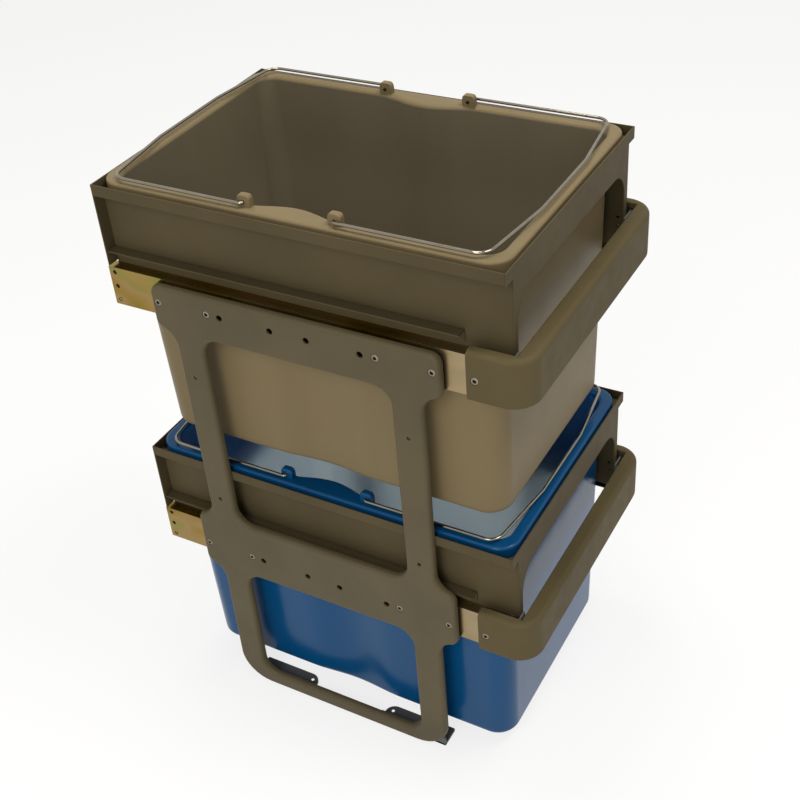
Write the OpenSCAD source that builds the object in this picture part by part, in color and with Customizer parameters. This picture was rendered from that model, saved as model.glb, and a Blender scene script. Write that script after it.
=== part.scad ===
// Pull out bin frame: two pressed side frames carry two drawers on ball slides,
// one above the other, and each drawer is an open collar that holds a lift out bin.
// Millimetres. X is the width, the front is towards -Y, Z is up. The origin is on the
// floor, midway between the side frames.

/* [Side frames] */
// Width over the outer faces of the two side frames
frame_w = 323; // [300:1:360]
// Length of a side frame over its ears
frame_len = 330; // [320:1:342]
// Depth of the pressed side frame, from its outer face to its back edge
frame_t = 7.5; // [7:0.5:10]
// Sheet thickness of a side frame
frame_sheet = 2; // [1.5:0.1:2.4]
// Rounding of the outer edges of a side frame
frame_edge_r = 6; // [4:0.5:6]
// Reach of an ear beyond the outer edge of its leg
ear_len = 21.6; // [20:0.1:30]
// Width of a leg
leg_w = 34; // [28:1:36]
// Height of the sill that joins the legs at the floor
sill_h = 20; // [18:1:30]
// Corner radius of the legs at the floor
foot_r = 40; // [20:1:42]
// Corner radius of the two windows
window_r = 21; // [10:1:30]
// Corner radius of the ears
ear_r = 11; // [6:1:11]
// Radius of the fillet between a leg and an ear
ear_fillet_r = 20; // [10:1:20]
// Rise of the sloping edge between a leg and an ear
ear_slope = 8; // [6:1:12]
// Height of the upper beam above its slide line
upper_beam_rise = 20; // [14:1:30]
// Height of the lower beam above its slide line
lower_beam_rise = 47; // [30:1:60]
// Depth of both beams below their slide lines
beam_drop = 33; // [24:1:40]

/* [Tiers] */
// Height of the lower slide line above the floor
lower_line_z = 219; // [205:1:250]
// Height of the upper slide line above the lower one
tier_pitch = 331; // [328:1:360]
// Collar top above its slide line
collar_rise = 117; // [105:1:120]
// Position of the collar's middle along Y
drawer_y = -4.7; // [-12:0.1:0]

/* [Slides] */
// Length of a slide rail
rail_len = 450; // [430:1:480]
// Height of a slide
rail_h = 45; // [43:0.5:47]
// Thickness of a closed slide
rail_t = 12.7; // [12.3:0.1:14]
// Sheet thickness of the rails
rail_sheet = 1.2; // [1:0.1:1.3]
// Distance of the rail's front end behind the collar's front face
rail_inset = 2.7; // [2:0.1:10]
// Diameter of a bearing ball
ball_d = 4; // [3.6:0.1:4.2]
// Number of balls in a row
ball_count = 6; // [4:1:10]
// Length of a ball cage
cage_len = 230; // [200:1:235]

/* [Collars] */
// Length of a collar from front to rear
collar_len = 450; // [440:1:470]
// Sheet thickness of a collar
collar_sheet = 1.5; // [1.2:0.1:2]
// Height of the band round the top
band_h = 13; // [10:0.5:18]
// Top of the arch in the front wall, below the collar's top
arch_drop = 36; // [28:1:50]
// Width of each front leg beside the arch
arch_leg_w = 8.3; // [8:0.1:14]
// Corner radius of the arch
arch_r = 30; // [15:1:40]
// Top of the slide cover below the collar's top
cover_drop = 76; // [66:1:80]
// Distance of the slide cover's front end behind the collar's front face
cover_setback = 48.7; // [44:0.1:70]

/* [Handles] */
// Height of a handle
handle_h = 53.5; // [46:0.5:58]
// Thickness of the handle's front bar
bar_t = 17.5; // [14:0.5:24]
// Gap between the collar's front face and the bar
bar_gap = 7.3; // [6:0.1:20]
// Distance of the arms' rear ends behind the collar's front face
arm_back = 37.9; // [34:0.1:44]
// Outer corner radius of the handle
handle_r = 28; // [14:1:30]
// Rounding of the handle's top edge
handle_top_r = 6; // [3:0.5:6]
// Rounding of the handle's bottom edge
handle_low_r = 3; // [1:0.5:4]
// Wall thickness of the handle's hollow bar
handle_wall = 3; // [2:0.5:4]

/* [Bins] */
// Bottom of the upper bin below its collar's top
upper_bin_drop = 304; // [270:1:308]
// Bottom of the lower bin below its collar's top
lower_bin_drop = 315; // [270:1:322]
// Wall thickness of a bin
bin_wall = 2.5; // [2:0.1:3]
// Inward lean of each long wall from top to bottom
bin_lean_side = 3; // [2:0.5:12]
// Inward lean of each end wall from top to bottom
bin_lean_end = 4.5; // [2:0.5:16]
// Plan corner radius of a bin's walls at the floor
bin_low_r = 27; // [18:1:44]
// Plan corner radius of a bin's walls at the rim
bin_top_r = 20; // [14:1:30]
// Rounding between a bin's walls and floor
bin_floor_r = 9; // [6:1:16]
// Outer corner radius of the rim
rim_r = 23; // [16:1:30]
// Width of the rim over the end walls
rim_end_w = 11; // [10:0.5:14]
// Height of the rim above the collar's top
rim_rise = 3; // [1:0.5:5]
// Depth of the hollow in the long walls at the rim
hollow_top = 12; // [6:0.5:14]
// Depth of the hollow in the long walls at the floor
hollow_low = 4; // [2:0.5:6]
// Half length of the hollow in the long walls
hollow_half = 62; // [50:1:80]

/* [Bails] */
// Diameter of the bail wire
wire_d = 3.2; // [2.6:0.1:3.6]
// Height of the bail's pivot above the collar's top
pivot_rise = 8; // [7:0.5:10]
// Distance of each pivot from the collar's middle along Y
pivot_y = 49.5; // [45:0.5:70]
// Distance of the bail's end run from the collar's middle along Y
bail_reach = 213.5; // [205:0.5:216]
// Corner radius of the bail
bail_r = 15; // [10:1:30]
// Half length of the straight middle of the bail's end run
grip_half = 50; // [30:1:70]
// Slant of the end run beside its middle, in degrees
bail_slant = 7; // [3:0.5:10]
// Thickness of a pivot lug
lug_t = 7; // [5:0.5:8]
// Radius of a pivot lug
lug_r = 7; // [5:0.5:8]

/* [Feet] */
// Width of a foot from the frame's back edge
foot_w = 25; // [22:0.5:30]
// Thickness of a foot
foot_t = 3; // [2:0.5:4]
// Height of the foot's upright flange
foot_h = 17; // [15.5:0.5:18]
// Near end of a foot, from the frame's middle along Y
foot_near = 49; // [40:1:52]
// Distance of a foot's far end inside the outer edge of its leg
foot_end_in = 5.9; // [4:0.1:18]
// Distance of a floor screw hole from the frame's middle along Y
floor_hole_y = 57.5; // [56:0.5:70]
// Distance of a floor screw hole from the frame's back edge
floor_hole_in = 17; // [14:0.5:18]
// Diameter of a floor screw hole
floor_hole_d = 5; // [4:0.5:6]

/* [Fasteners] */
// Distance of the inner slide screws from the frame's middle along Y
screw_y_near = 96.7; // [92:0.1:99]
// Distance of the outer slide screws from the ends of the ears
ear_screw_in = 8.6; // [8:0.1:11]
// Thread diameter of the screws
screw_d = 4.8; // [4:0.1:5]
// Head diameter of the screws
head_d = 8; // [7:0.1:8.4]
// Head height of the screws
head_h = 2.4; // [2:0.1:2.6]
// Width across the corners of the socket in a screw head
socket_d = 4.4; // [3:0.1:5]
// Diameter of the boss behind each slide screw
boss_d = 12; // [11:0.5:13]
// Height of the slide bosses behind the frame's back edge
boss_h = 3; // [2:0.1:5]
// Diameter of the spare holes in the slide rows
spare_d = 7; // [5:0.5:8]
// Distance of the inner spare holes from the frame's middle along Y
spare_y_near = 20.9; // [15:0.1:40]
// Distance of the outer spare holes from the frame's middle along Y
spare_y_far = 80.6; // [70:0.1:86]
// Diameter of the cabinet screw holes in the legs
leg_hole_d = 4.5; // [4:0.1:6]
// Upper cabinet screw hole below the upper slide line
leg_hole_drop = 85.5; // [70:0.5:100]
// Distance between the cabinet screw holes of a leg
leg_hole_pitch = 167.5; // [120:0.5:175]
// Rivet shank diameter
rivet_d = 4; // [3:0.1:4.8]
// Rivet head diameter
rivet_head_d = 7; // [6:0.1:8]
// Handle screw height above the slide line
arm_screw_z = 3; // [-3:0.5:6]
// Thickness of the steel handle brackets
bracket_t = 2; // [1.5:0.1:2]

/* [Hidden] */
$fn = 48;

// Working clearances
fit_gap = 0.1;
seat_gap = 0.3;
play = 0.2;
race_gap = 0.15;
pin_gap = 0.05;
back_gap = 1;
wall_gap = 1.8;
rim_gap_side = 4.5;
rim_gap_end = 2.5;

// Stack across the width, measured from the middle
frame_x = frame_w / 2;
back_x = frame_x - frame_t;
rail_x = back_x - boss_h;
wall_x = rail_x - rail_t;
band_x = back_x - back_gap;

// Heights of the two tiers
upper_line_z = lower_line_z + tier_pitch;

// Collar, with heights above its slide line
collar_front = drawer_y - collar_len / 2;
collar_rear = drawer_y + collar_len / 2;
wall_in = wall_x - collar_sheet;
shelf_z = collar_rise - band_h + collar_sheet;
rear_step_z = rail_h / 2 + 2.5;
wall_hole_d = 4;
wall_hole_y = collar_front + 8.7;
wall_hole_z = [rail_h / 2 - 1.5, rail_h / 2 - 11.5];
cover_z = collar_rise - cover_drop;
cover_sheet = 1.2;
cover_lip = 13;
rivet_y = [30, 160, 290, 420];
rivet_head_h = 0.9;

// Slide section: a runs inwards from the slide's outer face
cage_t = 0.5;
cage_strip = 1;
cage_rim = 0.8;
outer_half = rail_h / 2;
outer_row = outer_half - rail_sheet - ball_d / 2;
middle_half = outer_row - ball_d / 2;
inner_row = middle_half - rail_sheet - ball_d / 2;
inner_half = inner_row - ball_d / 2;
outer_tip = rail_t - seat_gap;
outer_cage_a = rail_sheet + play;
middle_a = outer_cage_a + cage_t + play;
middle_tip = rail_t - rail_sheet - 1;
inner_cage_a = middle_a + rail_sheet + play;
inner_tip = inner_cage_a + cage_t + play;
outer_ball_a = (middle_a + middle_tip) / 2;
inner_ball_a = (inner_tip + middle_tip) / 2;
wall_low = -inner_half - 0.4;
rail_front = collar_front + rail_inset;
cage_front = rail_front + (rail_len - cage_len) / 2 - 0.01;
rail_end_hole_d = 5;
rail_end_hole_in = 7;
rail_end_hole_z = 16.5;

// Handle, with heights above its slide line
handle_lip_z = rail_h / 2 + 4.5;
lip_t = 6.5;
handle_top = handle_lip_z + lip_t;
handle_low = handle_top - handle_h;
handle_lip_x = rail_x - 2;
lip_slope = 2;
bracket_x = rail_x + seat_gap;
arm_in = bracket_x + bracket_t;
bar_back = collar_front - bar_gap;
bar_front = bar_back - bar_t;
arm_rear = collar_front + arm_back;
arm_screw_y = arm_rear - 8.2;
bracket_top = handle_lip_z - lip_slope - 0.5;
bracket_low = wall_low + 0.5;
bracket_rear = arm_rear - 2.2;
leg_screw_x = wall_x - arch_leg_w / 2;
leg_screw_z = [-3, 17];
leg_screw_d = 4;
leg_head_d = 7;

// Bin, with heights above its slide line
upper_bin_low = collar_rise - upper_bin_drop;
lower_bin_low = collar_rise - lower_bin_drop;
rim_top = collar_rise + rim_rise;
rim_under = rim_top - bin_wall;
skirt_low = shelf_z + seat_gap;
rim_x = band_x - collar_sheet - rim_gap_side;
rim_y = collar_len / 2 - collar_sheet - rim_gap_end;
bin_top_x = wall_in - wall_gap;
bin_top_y = rim_y - rim_end_w;
rim_edge_r = 3;
mouth_edge_r = 5;
corner_steps = 6;
hollow_steps = 12;

// Bails
wire_r = wire_d / 2;
wire_bend_r = 3;
wire_stub = 2;
wire_sides = 10;
wire_skin = 0.02;
pin_lap = 0.2;
bend_step = 15;
pivot_z = collar_rise + pivot_rise;
lug_x = wall_in - 0.8;
lug_out = lug_x + lug_t / 2;
lug_in = lug_x - lug_t / 2;
bail_x = lug_out + seat_gap + wire_bend_r;
grip_bend_r = 15;

// Side frame outline
ear_y = frame_len / 2;
leg_out = ear_y - ear_len;
leg_in = leg_out - leg_w;
leg_y = leg_out - leg_w / 2;
upper_top = upper_line_z + upper_beam_rise;
upper_low = upper_line_z - beam_drop;
middle_top = lower_line_z + lower_beam_rise;
middle_low = lower_line_z - beam_drop;
edge_steps = 2;
arc_steps = 4;
head_sink = head_h + 0.3;
screw_y_far = ear_y - ear_screw_in;
screw_rows = [-screw_y_far, -screw_y_near, screw_y_near, screw_y_far];
spare_rows = [-spare_y_far, -spare_y_near, spare_y_near, spare_y_far];
leg_hole_z = [upper_line_z - leg_hole_drop, upper_line_z - leg_hole_drop - leg_hole_pitch];

// Feet
foot_far = leg_out - foot_end_in;
foot_screw_y = [foot_near + 14, foot_far - 34];
foot_screw_z = sill_h / 2;
foot_screw_d = 4;
foot_head_d = 7;
foot_boss_d = 9;
foot_screw_in = 3.5;

// Colours
coat = [0.29, 0.27, 0.25];
zinc = [0.78, 0.68, 0.45];
steel = [0.30, 0.30, 0.31];
bright = [0.80, 0.80, 0.80];
taupe = [0.72, 0.64, 0.56];
blue = [0.42, 0.56, 0.70];

// Placing: pieces are drawn on the right side, with Z measured from their slide line

module left() mirror([1, 0, 0]) children();

module both_sides() {
  children();
  mirror([1, 0, 0]) children();
}

module upper() translate([0, 0, upper_line_z]) children();

module lower() translate([0, 0, lower_line_z]) children();

// A box from its low corner to its high corner
module block(low, high) translate(low) cube(high - low);

// A rod along X from x0 to x1
module rod_x(d, x0, x1, y, z) translate([x0, y, z]) rotate([0, 90, 0]) cylinder(d = d, h = x1 - x0);

// A rod along Y from y0 to y1
module rod_y(d, y0, y1, x, z) translate([x, y0, z]) rotate([-90, 0, 0]) cylinder(d = d, h = y1 - y0);

// Rounded outlines: each corner is [u, v, radius], counter-clockwise, and the outline
// can be moved inwards by a distance

function reversed(list) = [for (i = [len(list) - 1:-1:0]) list[i]];

function unit(v) = v / norm(v);

function left_of(d) = [-d[1], d[0]];

function turn_angle(d1, d2) = atan2(d1[0] * d2[1] - d1[1] * d2[0], d1 * d2);

function corner_arc(before, at, after, inset) =
  let (
    d1 = unit([at[0] - before[0], at[1] - before[1]]),
    d2 = unit([after[0] - at[0], after[1] - at[1]]),
    n1 = left_of(d1),
    n2 = left_of(d2),
    turn = turn_angle(d1, d2),
    r = turn > 0 ? at[2] - inset : at[2] + inset,
    v = [at[0], at[1]] + inset * (n1 + n2) / (1 + n1 * n2),
    start = v - d1 * r * tan(abs(turn) / 2),
    side = turn > 0 ? 1 : -1,
    centre = start + side * r * n1
  )
  [for (i = [0:arc_steps])
    let (a = turn * i / arc_steps, q = -side * r * n1)
    centre + [q[0] * cos(a) - q[1] * sin(a), q[0] * sin(a) + q[1] * cos(a)]];

function outline(corners, inset) =
  let (n = len(corners))
  [for (i = [0:n - 1]) each corner_arc(corners[(i + n - 1) % n], corners[i], corners[(i + 1) % n], inset)];

// Closed solid through rings of points, all with the same count, each ring seen
// counter-clockwise from the side the rings advance to; the end rings are closed by the
// given faces, or by one face each
module loft(rings, ends = []) {
  count = len(rings[0]);
  last = len(rings) - 1;
  points = [for (ring = rings) each ring];
  walls = [for (k = [0:last - 1], i = [0:count - 1])
    let (a = k * count + i, b = k * count + (i + 1) % count)
    each [[a, a + count, b], [b, a + count, b + count]]];
  caps = len(ends) > 0 ? ends : [[for (i = [0:count - 1]) i]];
  high_caps = [for (cap = caps) [for (i = reversed(cap)) last * count + i]];
  polyhedron(points = points, faces = concat(walls, caps, high_caps));
}

// Side frames

frame_right_half = [
  [leg_out, 0, foot_r],
  [leg_out, middle_low - ear_slope / 2, ear_fillet_r],
  [ear_y, middle_low + ear_slope / 2, ear_r],
  [ear_y, middle_top - ear_slope / 2, ear_r],
  [leg_out, middle_top + ear_slope / 2, ear_fillet_r],
  [leg_out, upper_low - ear_slope / 2, ear_fillet_r],
  [ear_y, upper_low + ear_slope / 2, ear_r],
  [ear_y, upper_top, ear_r]
];

function mirrored(corners) =
  let (n = len(corners))
  [for (i = [n - 1:-1:0]) [-corners[i][0], corners[i][1], corners[i][2]]];

frame_outline = concat(frame_right_half, mirrored(frame_right_half));

function window_outline(low, high) = [
  [leg_in, low, window_r],
  [leg_in, high, window_r],
  [-leg_in, high, window_r],
  [-leg_in, low, window_r]
];

// The loops of a side frame: its outline and its two windows
frame_loops = [
  frame_outline,
  window_outline(middle_top, upper_low),
  window_outline(sill_h, middle_low)
];

// Section of the pressed sheet at an edge, as [inset, depth] pairs from the outer face
// round the edge to the back and along the inside to the hollow's floor
hollow_r = frame_edge_r - frame_sheet;
frame_section = concat(
  [for (i = [0:edge_steps]) let (a = 90 * i / edge_steps) edge_point(frame_edge_r, a)],
  [[0, frame_t], [frame_sheet, frame_t]],
  [for (i = [edge_steps:-1:0]) let (a = 90 * i / edge_steps) edge_point(hollow_r, a)]
);

function edge_point(r, a) = [frame_edge_r - r * sin(a), frame_edge_r - r * cos(a)];

// Points of a loop at one pair of the section, with the windows growing as the outline shrinks
function frame_ring(loop, pair) =
  let (sense = loop == 0 ? 1 : -1)
  [for (p = outline(frame_loops[loop], sense * pair[0])) [frame_x - pair[1], p[0], p[1]]];

// Numbering of the points
corner_count = arc_steps + 1;
section_count = len(frame_section);

function loop_count(loop) = len(frame_loops[loop]) * corner_count;

function ring_start(loop, k) =
  (loop > 0 ? ring_start(loop - 1, section_count) : 0) + k * loop_count(loop);

function at(loop, k, corner, i) = ring_start(loop, k) + corner * corner_count + i;

// Points of the outline from one corner's point on to another's
function along(k, c1, i1, c2, i2) =
  [for (j = [c1 * corner_count + i1:c2 * corner_count + i2]) ring_start(0, k) + j];

// Faces where a leg meets a beam or the sill, between a corner of the outline and one of a window
function junction(k, corner, loop, window_corner) = [for (i = [0:arc_steps - 1]) [
  at(0, k, corner, i),
  at(0, k, corner, i + 1),
  at(loop, k, window_corner, i + 1),
  at(loop, k, window_corner, i)
]];

// Straight stretch of a leg or the sill, from one corner of the outline to the next
function stretch(k, c1, c2, loop, w1, w2) =
  [at(0, k, c1, arc_steps), at(0, k, c2, 0), at(loop, k, w2, 0), at(loop, k, w1, arc_steps)];

// A flat face of the frame, as convex pieces
function frame_faces(k) =
  let (
    e = arc_steps,
    upper_right = at(1, k, 1, e),
    upper_left = at(1, k, 2, 0),
    above_right = at(1, k, 0, 0),
    above_left = at(1, k, 3, e),
    below_right = at(2, k, 1, e),
    below_left = at(2, k, 2, 0)
  )
  concat(
    [
      concat(along(k, 5, e, 7, e), [upper_right]),
      [at(0, k, 7, e), at(0, k, 8, 0), upper_left, upper_right],
      concat(along(k, 8, 0, 10, 0), [upper_left]),
      concat(along(k, 1, e, 4, 0), [above_right, below_right]),
      [above_right, above_left, below_left, below_right],
      concat(along(k, 11, e, 14, 0), [below_left, above_left]),
      stretch(k, 4, 5, 1, 0, 1),
      stretch(k, 10, 11, 1, 2, 3),
      stretch(k, 0, 1, 2, 0, 1),
      stretch(k, 14, 15, 2, 2, 3),
      stretch(k, 15, 0, 2, 3, 0)
    ],
    junction(k, 4, 1, 0),
    junction(k, 5, 1, 1),
    junction(k, 10, 1, 2),
    junction(k, 11, 1, 3),
    junction(k, 0, 2, 0),
    junction(k, 1, 2, 1),
    junction(k, 14, 2, 2),
    junction(k, 15, 2, 3)
  );

// Faces round one loop from the outer face to the hollow's floor
function edge_faces(loop) =
  let (n = loop_count(loop))
  [for (k = [0:section_count - 2], i = [0:n - 1])
    let (
      a = ring_start(loop, k) + i,
      b = ring_start(loop, k) + (i + 1) % n,
      pair = [[a, b, a + n], [b, b + n, a + n]]
    )
    each loop == 0 ? pair : [reversed(pair[0]), reversed(pair[1])]];

module frame_sheet_form() {
  points = [for (loop = [0:2], pair = frame_section) each frame_ring(loop, pair)];
  faces = concat(
    [for (f = frame_faces(0)) reversed(f)],
    [for (loop = [0:2]) each edge_faces(loop)],
    frame_faces(section_count - 1)
  );
  polyhedron(points = points, faces = faces);
}

module side_frame() {
  boss_front = frame_x - frame_sheet * 0.75;
  lines = [lower_line_z, upper_line_z];
  difference() {
    union() {
      frame_sheet_form();
      for (z = lines, y = screw_rows) rod_x(boss_d, rail_x, boss_front, y, z);
      for (s = [-1, 1], y = foot_screw_y) rod_x(foot_boss_d, back_x, boss_front, s * y, foot_screw_z);
    }
    for (z = lines, y = screw_rows) {
      rod_x(screw_d + 2 * fit_gap, rail_x - 1, frame_x - head_sink / 2, y, z);
      rod_x(head_d + 2 * fit_gap, frame_x - head_sink, frame_x + 1, y, z);
    }
    for (z = lines, y = spare_rows) rod_x(spare_d, back_x, frame_x + 1, y, z);
    for (z = leg_hole_z, s = [-1, 1]) rod_x(leg_hole_d, back_x, frame_x + 1, s * leg_y, z);
    for (s = [-1, 1], y = foot_screw_y) {
      rod_x(foot_screw_d + 2 * fit_gap, back_x - 1, back_x + foot_screw_in + fit_gap, s * y, foot_screw_z);
    }
  }
}

module left_side_frame() color(coat) left() side_frame();

module right_side_frame() color(coat) side_frame();

module rail_screw(y, z) {
  head_x = frame_x - head_sink + fit_gap;
  difference() {
    union() {
      rod_x(screw_d, rail_x - rail_sheet, head_x, y, z);
      rod_x(head_d, head_x, head_x + head_h, y, z);
    }
    translate([head_x + head_h - head_h / 2, y, z]) rotate([0, 90, 0]) cylinder(d = socket_d, h = head_h, $fn = 6);
  }
}

module rail_screws() for (z = [lower_line_z, upper_line_z], y = screw_rows) rail_screw(y, z);

module left_rail_screws() color(bright) left() rail_screws();

module right_rail_screws() color(bright) rail_screws();

// Feet: an angle on the floor behind the sill, with a rounded near end

module foot() {
  plate_in = back_x - foot_w;
  end_r = foot_w / 2;
  difference() {
    union() {
      block([plate_in, foot_near + end_r, 0], [back_x, foot_far, foot_t]);
      translate([plate_in + end_r, foot_near + end_r, 0]) cylinder(r = end_r, h = foot_t);
      block([back_x - foot_t, foot_near, 0], [back_x, foot_far, foot_h]);
    }
    translate([back_x - floor_hole_in, floor_hole_y, -1]) cylinder(d = floor_hole_d, h = foot_t + 2);
    for (y = foot_screw_y) {
      rod_x(foot_screw_d + 2 * fit_gap, back_x - foot_t - 1, back_x + 1, y, foot_screw_z);
    }
  }
}

module front_foot() mirror([0, 1, 0]) foot();

module left_front_foot() color(steel) left() front_foot();

module left_rear_foot() color(steel) left() foot();

module right_front_foot() color(steel) front_foot();

module right_rear_foot() color(steel) foot();

module foot_screw(y) {
  flange_x = back_x - foot_t;
  difference() {
    union() {
      rod_x(foot_screw_d, flange_x, back_x + foot_screw_in, y, foot_screw_z);
      rod_x(foot_head_d, flange_x - head_h, flange_x, y, foot_screw_z);
    }
    translate([flange_x - head_h - 1, y, foot_screw_z]) rotate([0, 90, 0]) {
      cylinder(d = socket_d * 0.8, h = head_h / 2 + 1, $fn = 6);
    }
  }
}

module foot_screws() color(bright) both_sides() for (s = [-1, 1], y = foot_screw_y) foot_screw(s * y);

// Slides: sections are drawn with a along X, inwards from the slide's outer face

module slide_bar(front, length) {
  translate([rail_x, front + length, 0]) rotate([90, 0, 0]) linear_extrude(length) mirror([1, 0]) children();
}

module ball_circle(a, row) for (s = [-1, 1]) translate([a, s * row]) circle(d = ball_d + 2 * race_gap);

// A channel with its web at a0, its flanges out to tip and the given half height
module channel(a0, tip, half) {
  web = tip > a0 ? a0 + rail_sheet : a0 - rail_sheet;
  bed = half - rail_sheet;
  polygon([[a0, -half], [tip, -half], [tip, -bed], [web, -bed], [web, bed], [tip, bed], [tip, half], [a0, half]]);
}

module outer_rail() {
  hole_y = rail_front + rail_len - rail_end_hole_in;
  difference() {
    slide_bar(rail_front, rail_len) difference() {
      channel(0, outer_tip, outer_half);
      ball_circle(outer_ball_a, outer_row);
    }
    for (y = screw_rows) rod_x(screw_d + 2 * fit_gap, rail_x - rail_sheet - 1, rail_x + 1, y, 0);
    for (s = [-1, 0, 1]) {
      rod_x(rail_end_hole_d, rail_x - rail_sheet - 1, rail_x + 1, hole_y, s * rail_end_hole_z);
    }
  }
}

module middle_rail() slide_bar(rail_front, rail_len) difference() {
  channel(middle_a, middle_tip, middle_half);
  ball_circle(outer_ball_a, outer_row);
  ball_circle(inner_ball_a, inner_row);
}

// The inner rail opens outwards, with its web on the collar's wall
module inner_rail() difference() {
  slide_bar(rail_front, rail_len) difference() {
    channel(rail_t, inner_tip, inner_half);
    ball_circle(inner_ball_a, inner_row);
  }
  for (y = rivet_y) rod_x(rivet_d + 2 * pin_gap, wall_x - 1, wall_x + rail_sheet + 1, collar_front + y, 0);
}

function ball_y(i) = cage_front + cage_len * (i + 0.5) / ball_count;

// A ball cage: a thin web with a strip along each row of balls
module cage(a0, ball_a, row) {
  strip_end = ball_a + ball_d / 2 + fit_gap + cage_rim;
  difference() {
    slide_bar(cage_front, cage_len) {
      translate([a0, -row - cage_strip / 2]) square([cage_t, 2 * row + cage_strip]);
      for (s = [-1, 1]) translate([a0, s * row - cage_strip / 2]) square([strip_end - a0, cage_strip]);
    }
    for (i = [0:ball_count - 1], s = [-1, 1]) {
      translate([rail_x - ball_a, ball_y(i), s * row - cage_strip]) {
        cylinder(d = ball_d + 2 * fit_gap, h = 2 * cage_strip);
      }
    }
  }
}

module balls(ball_a, row) {
  for (i = [0:ball_count - 1], s = [-1, 1]) translate([rail_x - ball_a, ball_y(i), s * row]) sphere(d = ball_d);
}

module outer_cage() cage(outer_cage_a, outer_ball_a, outer_row);

module inner_cage() cage(inner_cage_a, inner_ball_a, inner_row);

module outer_balls() balls(outer_ball_a, outer_row);

module inner_balls() balls(inner_ball_a, inner_row);

module upper_left_outer_rail() color(zinc) upper() left() outer_rail();

module upper_right_outer_rail() color(zinc) upper() outer_rail();

module lower_left_outer_rail() color(zinc) lower() left() outer_rail();

module lower_right_outer_rail() color(zinc) lower() outer_rail();

module upper_left_middle_rail() color(zinc) upper() left() middle_rail();

module upper_right_middle_rail() color(zinc) upper() middle_rail();

module lower_left_middle_rail() color(zinc) lower() left() middle_rail();

module lower_right_middle_rail() color(zinc) lower() middle_rail();

module upper_left_inner_rail() color(zinc) upper() left() inner_rail();

module upper_right_inner_rail() color(zinc) upper() inner_rail();

module lower_left_inner_rail() color(zinc) lower() left() inner_rail();

module lower_right_inner_rail() color(zinc) lower() inner_rail();

module upper_left_outer_cage() color(bright) upper() left() outer_cage();

module upper_right_outer_cage() color(bright) upper() outer_cage();

module lower_left_outer_cage() color(bright) lower() left() outer_cage();

module lower_right_outer_cage() color(bright) lower() outer_cage();

module upper_left_inner_cage() color(bright) upper() left() inner_cage();

module upper_right_inner_cage() color(bright) upper() inner_cage();

module lower_left_inner_cage() color(bright) lower() left() inner_cage();

module lower_right_inner_cage() color(bright) lower() inner_cage();

module upper_left_outer_balls() color(bright) upper() left() outer_balls();

module upper_right_outer_balls() color(bright) upper() outer_balls();

module lower_left_outer_balls() color(bright) lower() left() outer_balls();

module lower_right_outer_balls() color(bright) lower() outer_balls();

module upper_left_inner_balls() color(bright) upper() left() inner_balls();

module upper_right_inner_balls() color(bright) upper() inner_balls();

module lower_left_inner_balls() color(bright) lower() left() inner_balls();

module lower_right_inner_balls() color(bright) lower() inner_balls();

// Collars: folded sheet with a band round the top, a shelf for the bin's rim and walls
// that step in to the slides

// Front arch, open at the bottom, as a cut along Y
module arch_cut() {
  half = wall_x - arch_leg_w;
  top = collar_rise - arch_drop;
  y0 = collar_front - 1;
  y1 = collar_front + collar_sheet + 1;
  block([-half, y0, wall_low - 1], [half, y1, top - arch_r]);
  block([-half + arch_r, y0, wall_low - 1], [half - arch_r, y1, top]);
  for (s = [-1, 1]) rod_y(2 * arch_r, y0, y1, s * (half - arch_r), top - arch_r);
}

// An end wall: full width above step_z, between the walls below it
module end_wall(y0, y1, step_z) {
  block([-band_x, y0, step_z], [band_x, y1, collar_rise]);
  block([-wall_x, y0, wall_low], [wall_x, y1, step_z]);
}

module collar() {
  shelf_low = shelf_z - collar_sheet;
  difference() {
    union() {
      both_sides() {
        block([band_x - collar_sheet, collar_front, shelf_low], [band_x, collar_rear, collar_rise]);
        block([wall_in, collar_front, shelf_low], [band_x, collar_rear, shelf_z]);
        block([wall_in, collar_front, wall_low], [wall_x, collar_rear, shelf_z]);
      }
      end_wall(collar_front, collar_front + collar_sheet, shelf_low);
      end_wall(collar_rear - collar_sheet, collar_rear, rear_step_z);
    }
    arch_cut();
    both_sides() {
      for (y = rivet_y) rod_x(rivet_d + 2 * pin_gap, wall_in - 1, wall_x + 1, collar_front + y, 0);
      for (z = wall_hole_z) rod_x(wall_hole_d, wall_in - 1, wall_x + 1, wall_hole_y, z);
      for (z = leg_screw_z) {
        rod_y(leg_screw_d + 2 * fit_gap, collar_front - 1, collar_front + collar_sheet + 1, leg_screw_x, z);
      }
    }
  }
}

// Slide cover: an angle on the collar's wall, over the slide
module cover() {
  front = collar_front + cover_setback;
  block([wall_x, front, cover_z - cover_sheet], [rail_x, collar_rear - collar_sheet, cover_z]);
  block([wall_x, front, cover_z - cover_lip], [wall_x + cover_sheet, collar_rear - collar_sheet, cover_z]);
}

module rivet(y) {
  web_x = wall_x + rail_sheet;
  rod_x(rivet_d, wall_in, web_x, y, 0);
  rod_x(rivet_head_d, wall_in - rivet_head_h, wall_in, y, 0);
  rod_x(rivet_head_d, web_x, web_x + rivet_head_h, y, 0);
}

module rivets() both_sides() for (y = rivet_y) rivet(collar_front + y);

module upper_collar() color(coat) upper() collar();

module lower_collar() color(coat) lower() collar();

module upper_left_cover() color(coat) upper() left() cover();

module upper_right_cover() color(coat) upper() cover();

module lower_left_cover() color(coat) lower() left() cover();

module lower_right_cover() color(coat) lower() cover();

module upper_rivets() color(zinc) upper() rivets();

module lower_rivets() color(zinc) lower() rivets();

// Handles: a rounded U moulding screwed to two steel angles on the collar's front legs

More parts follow.
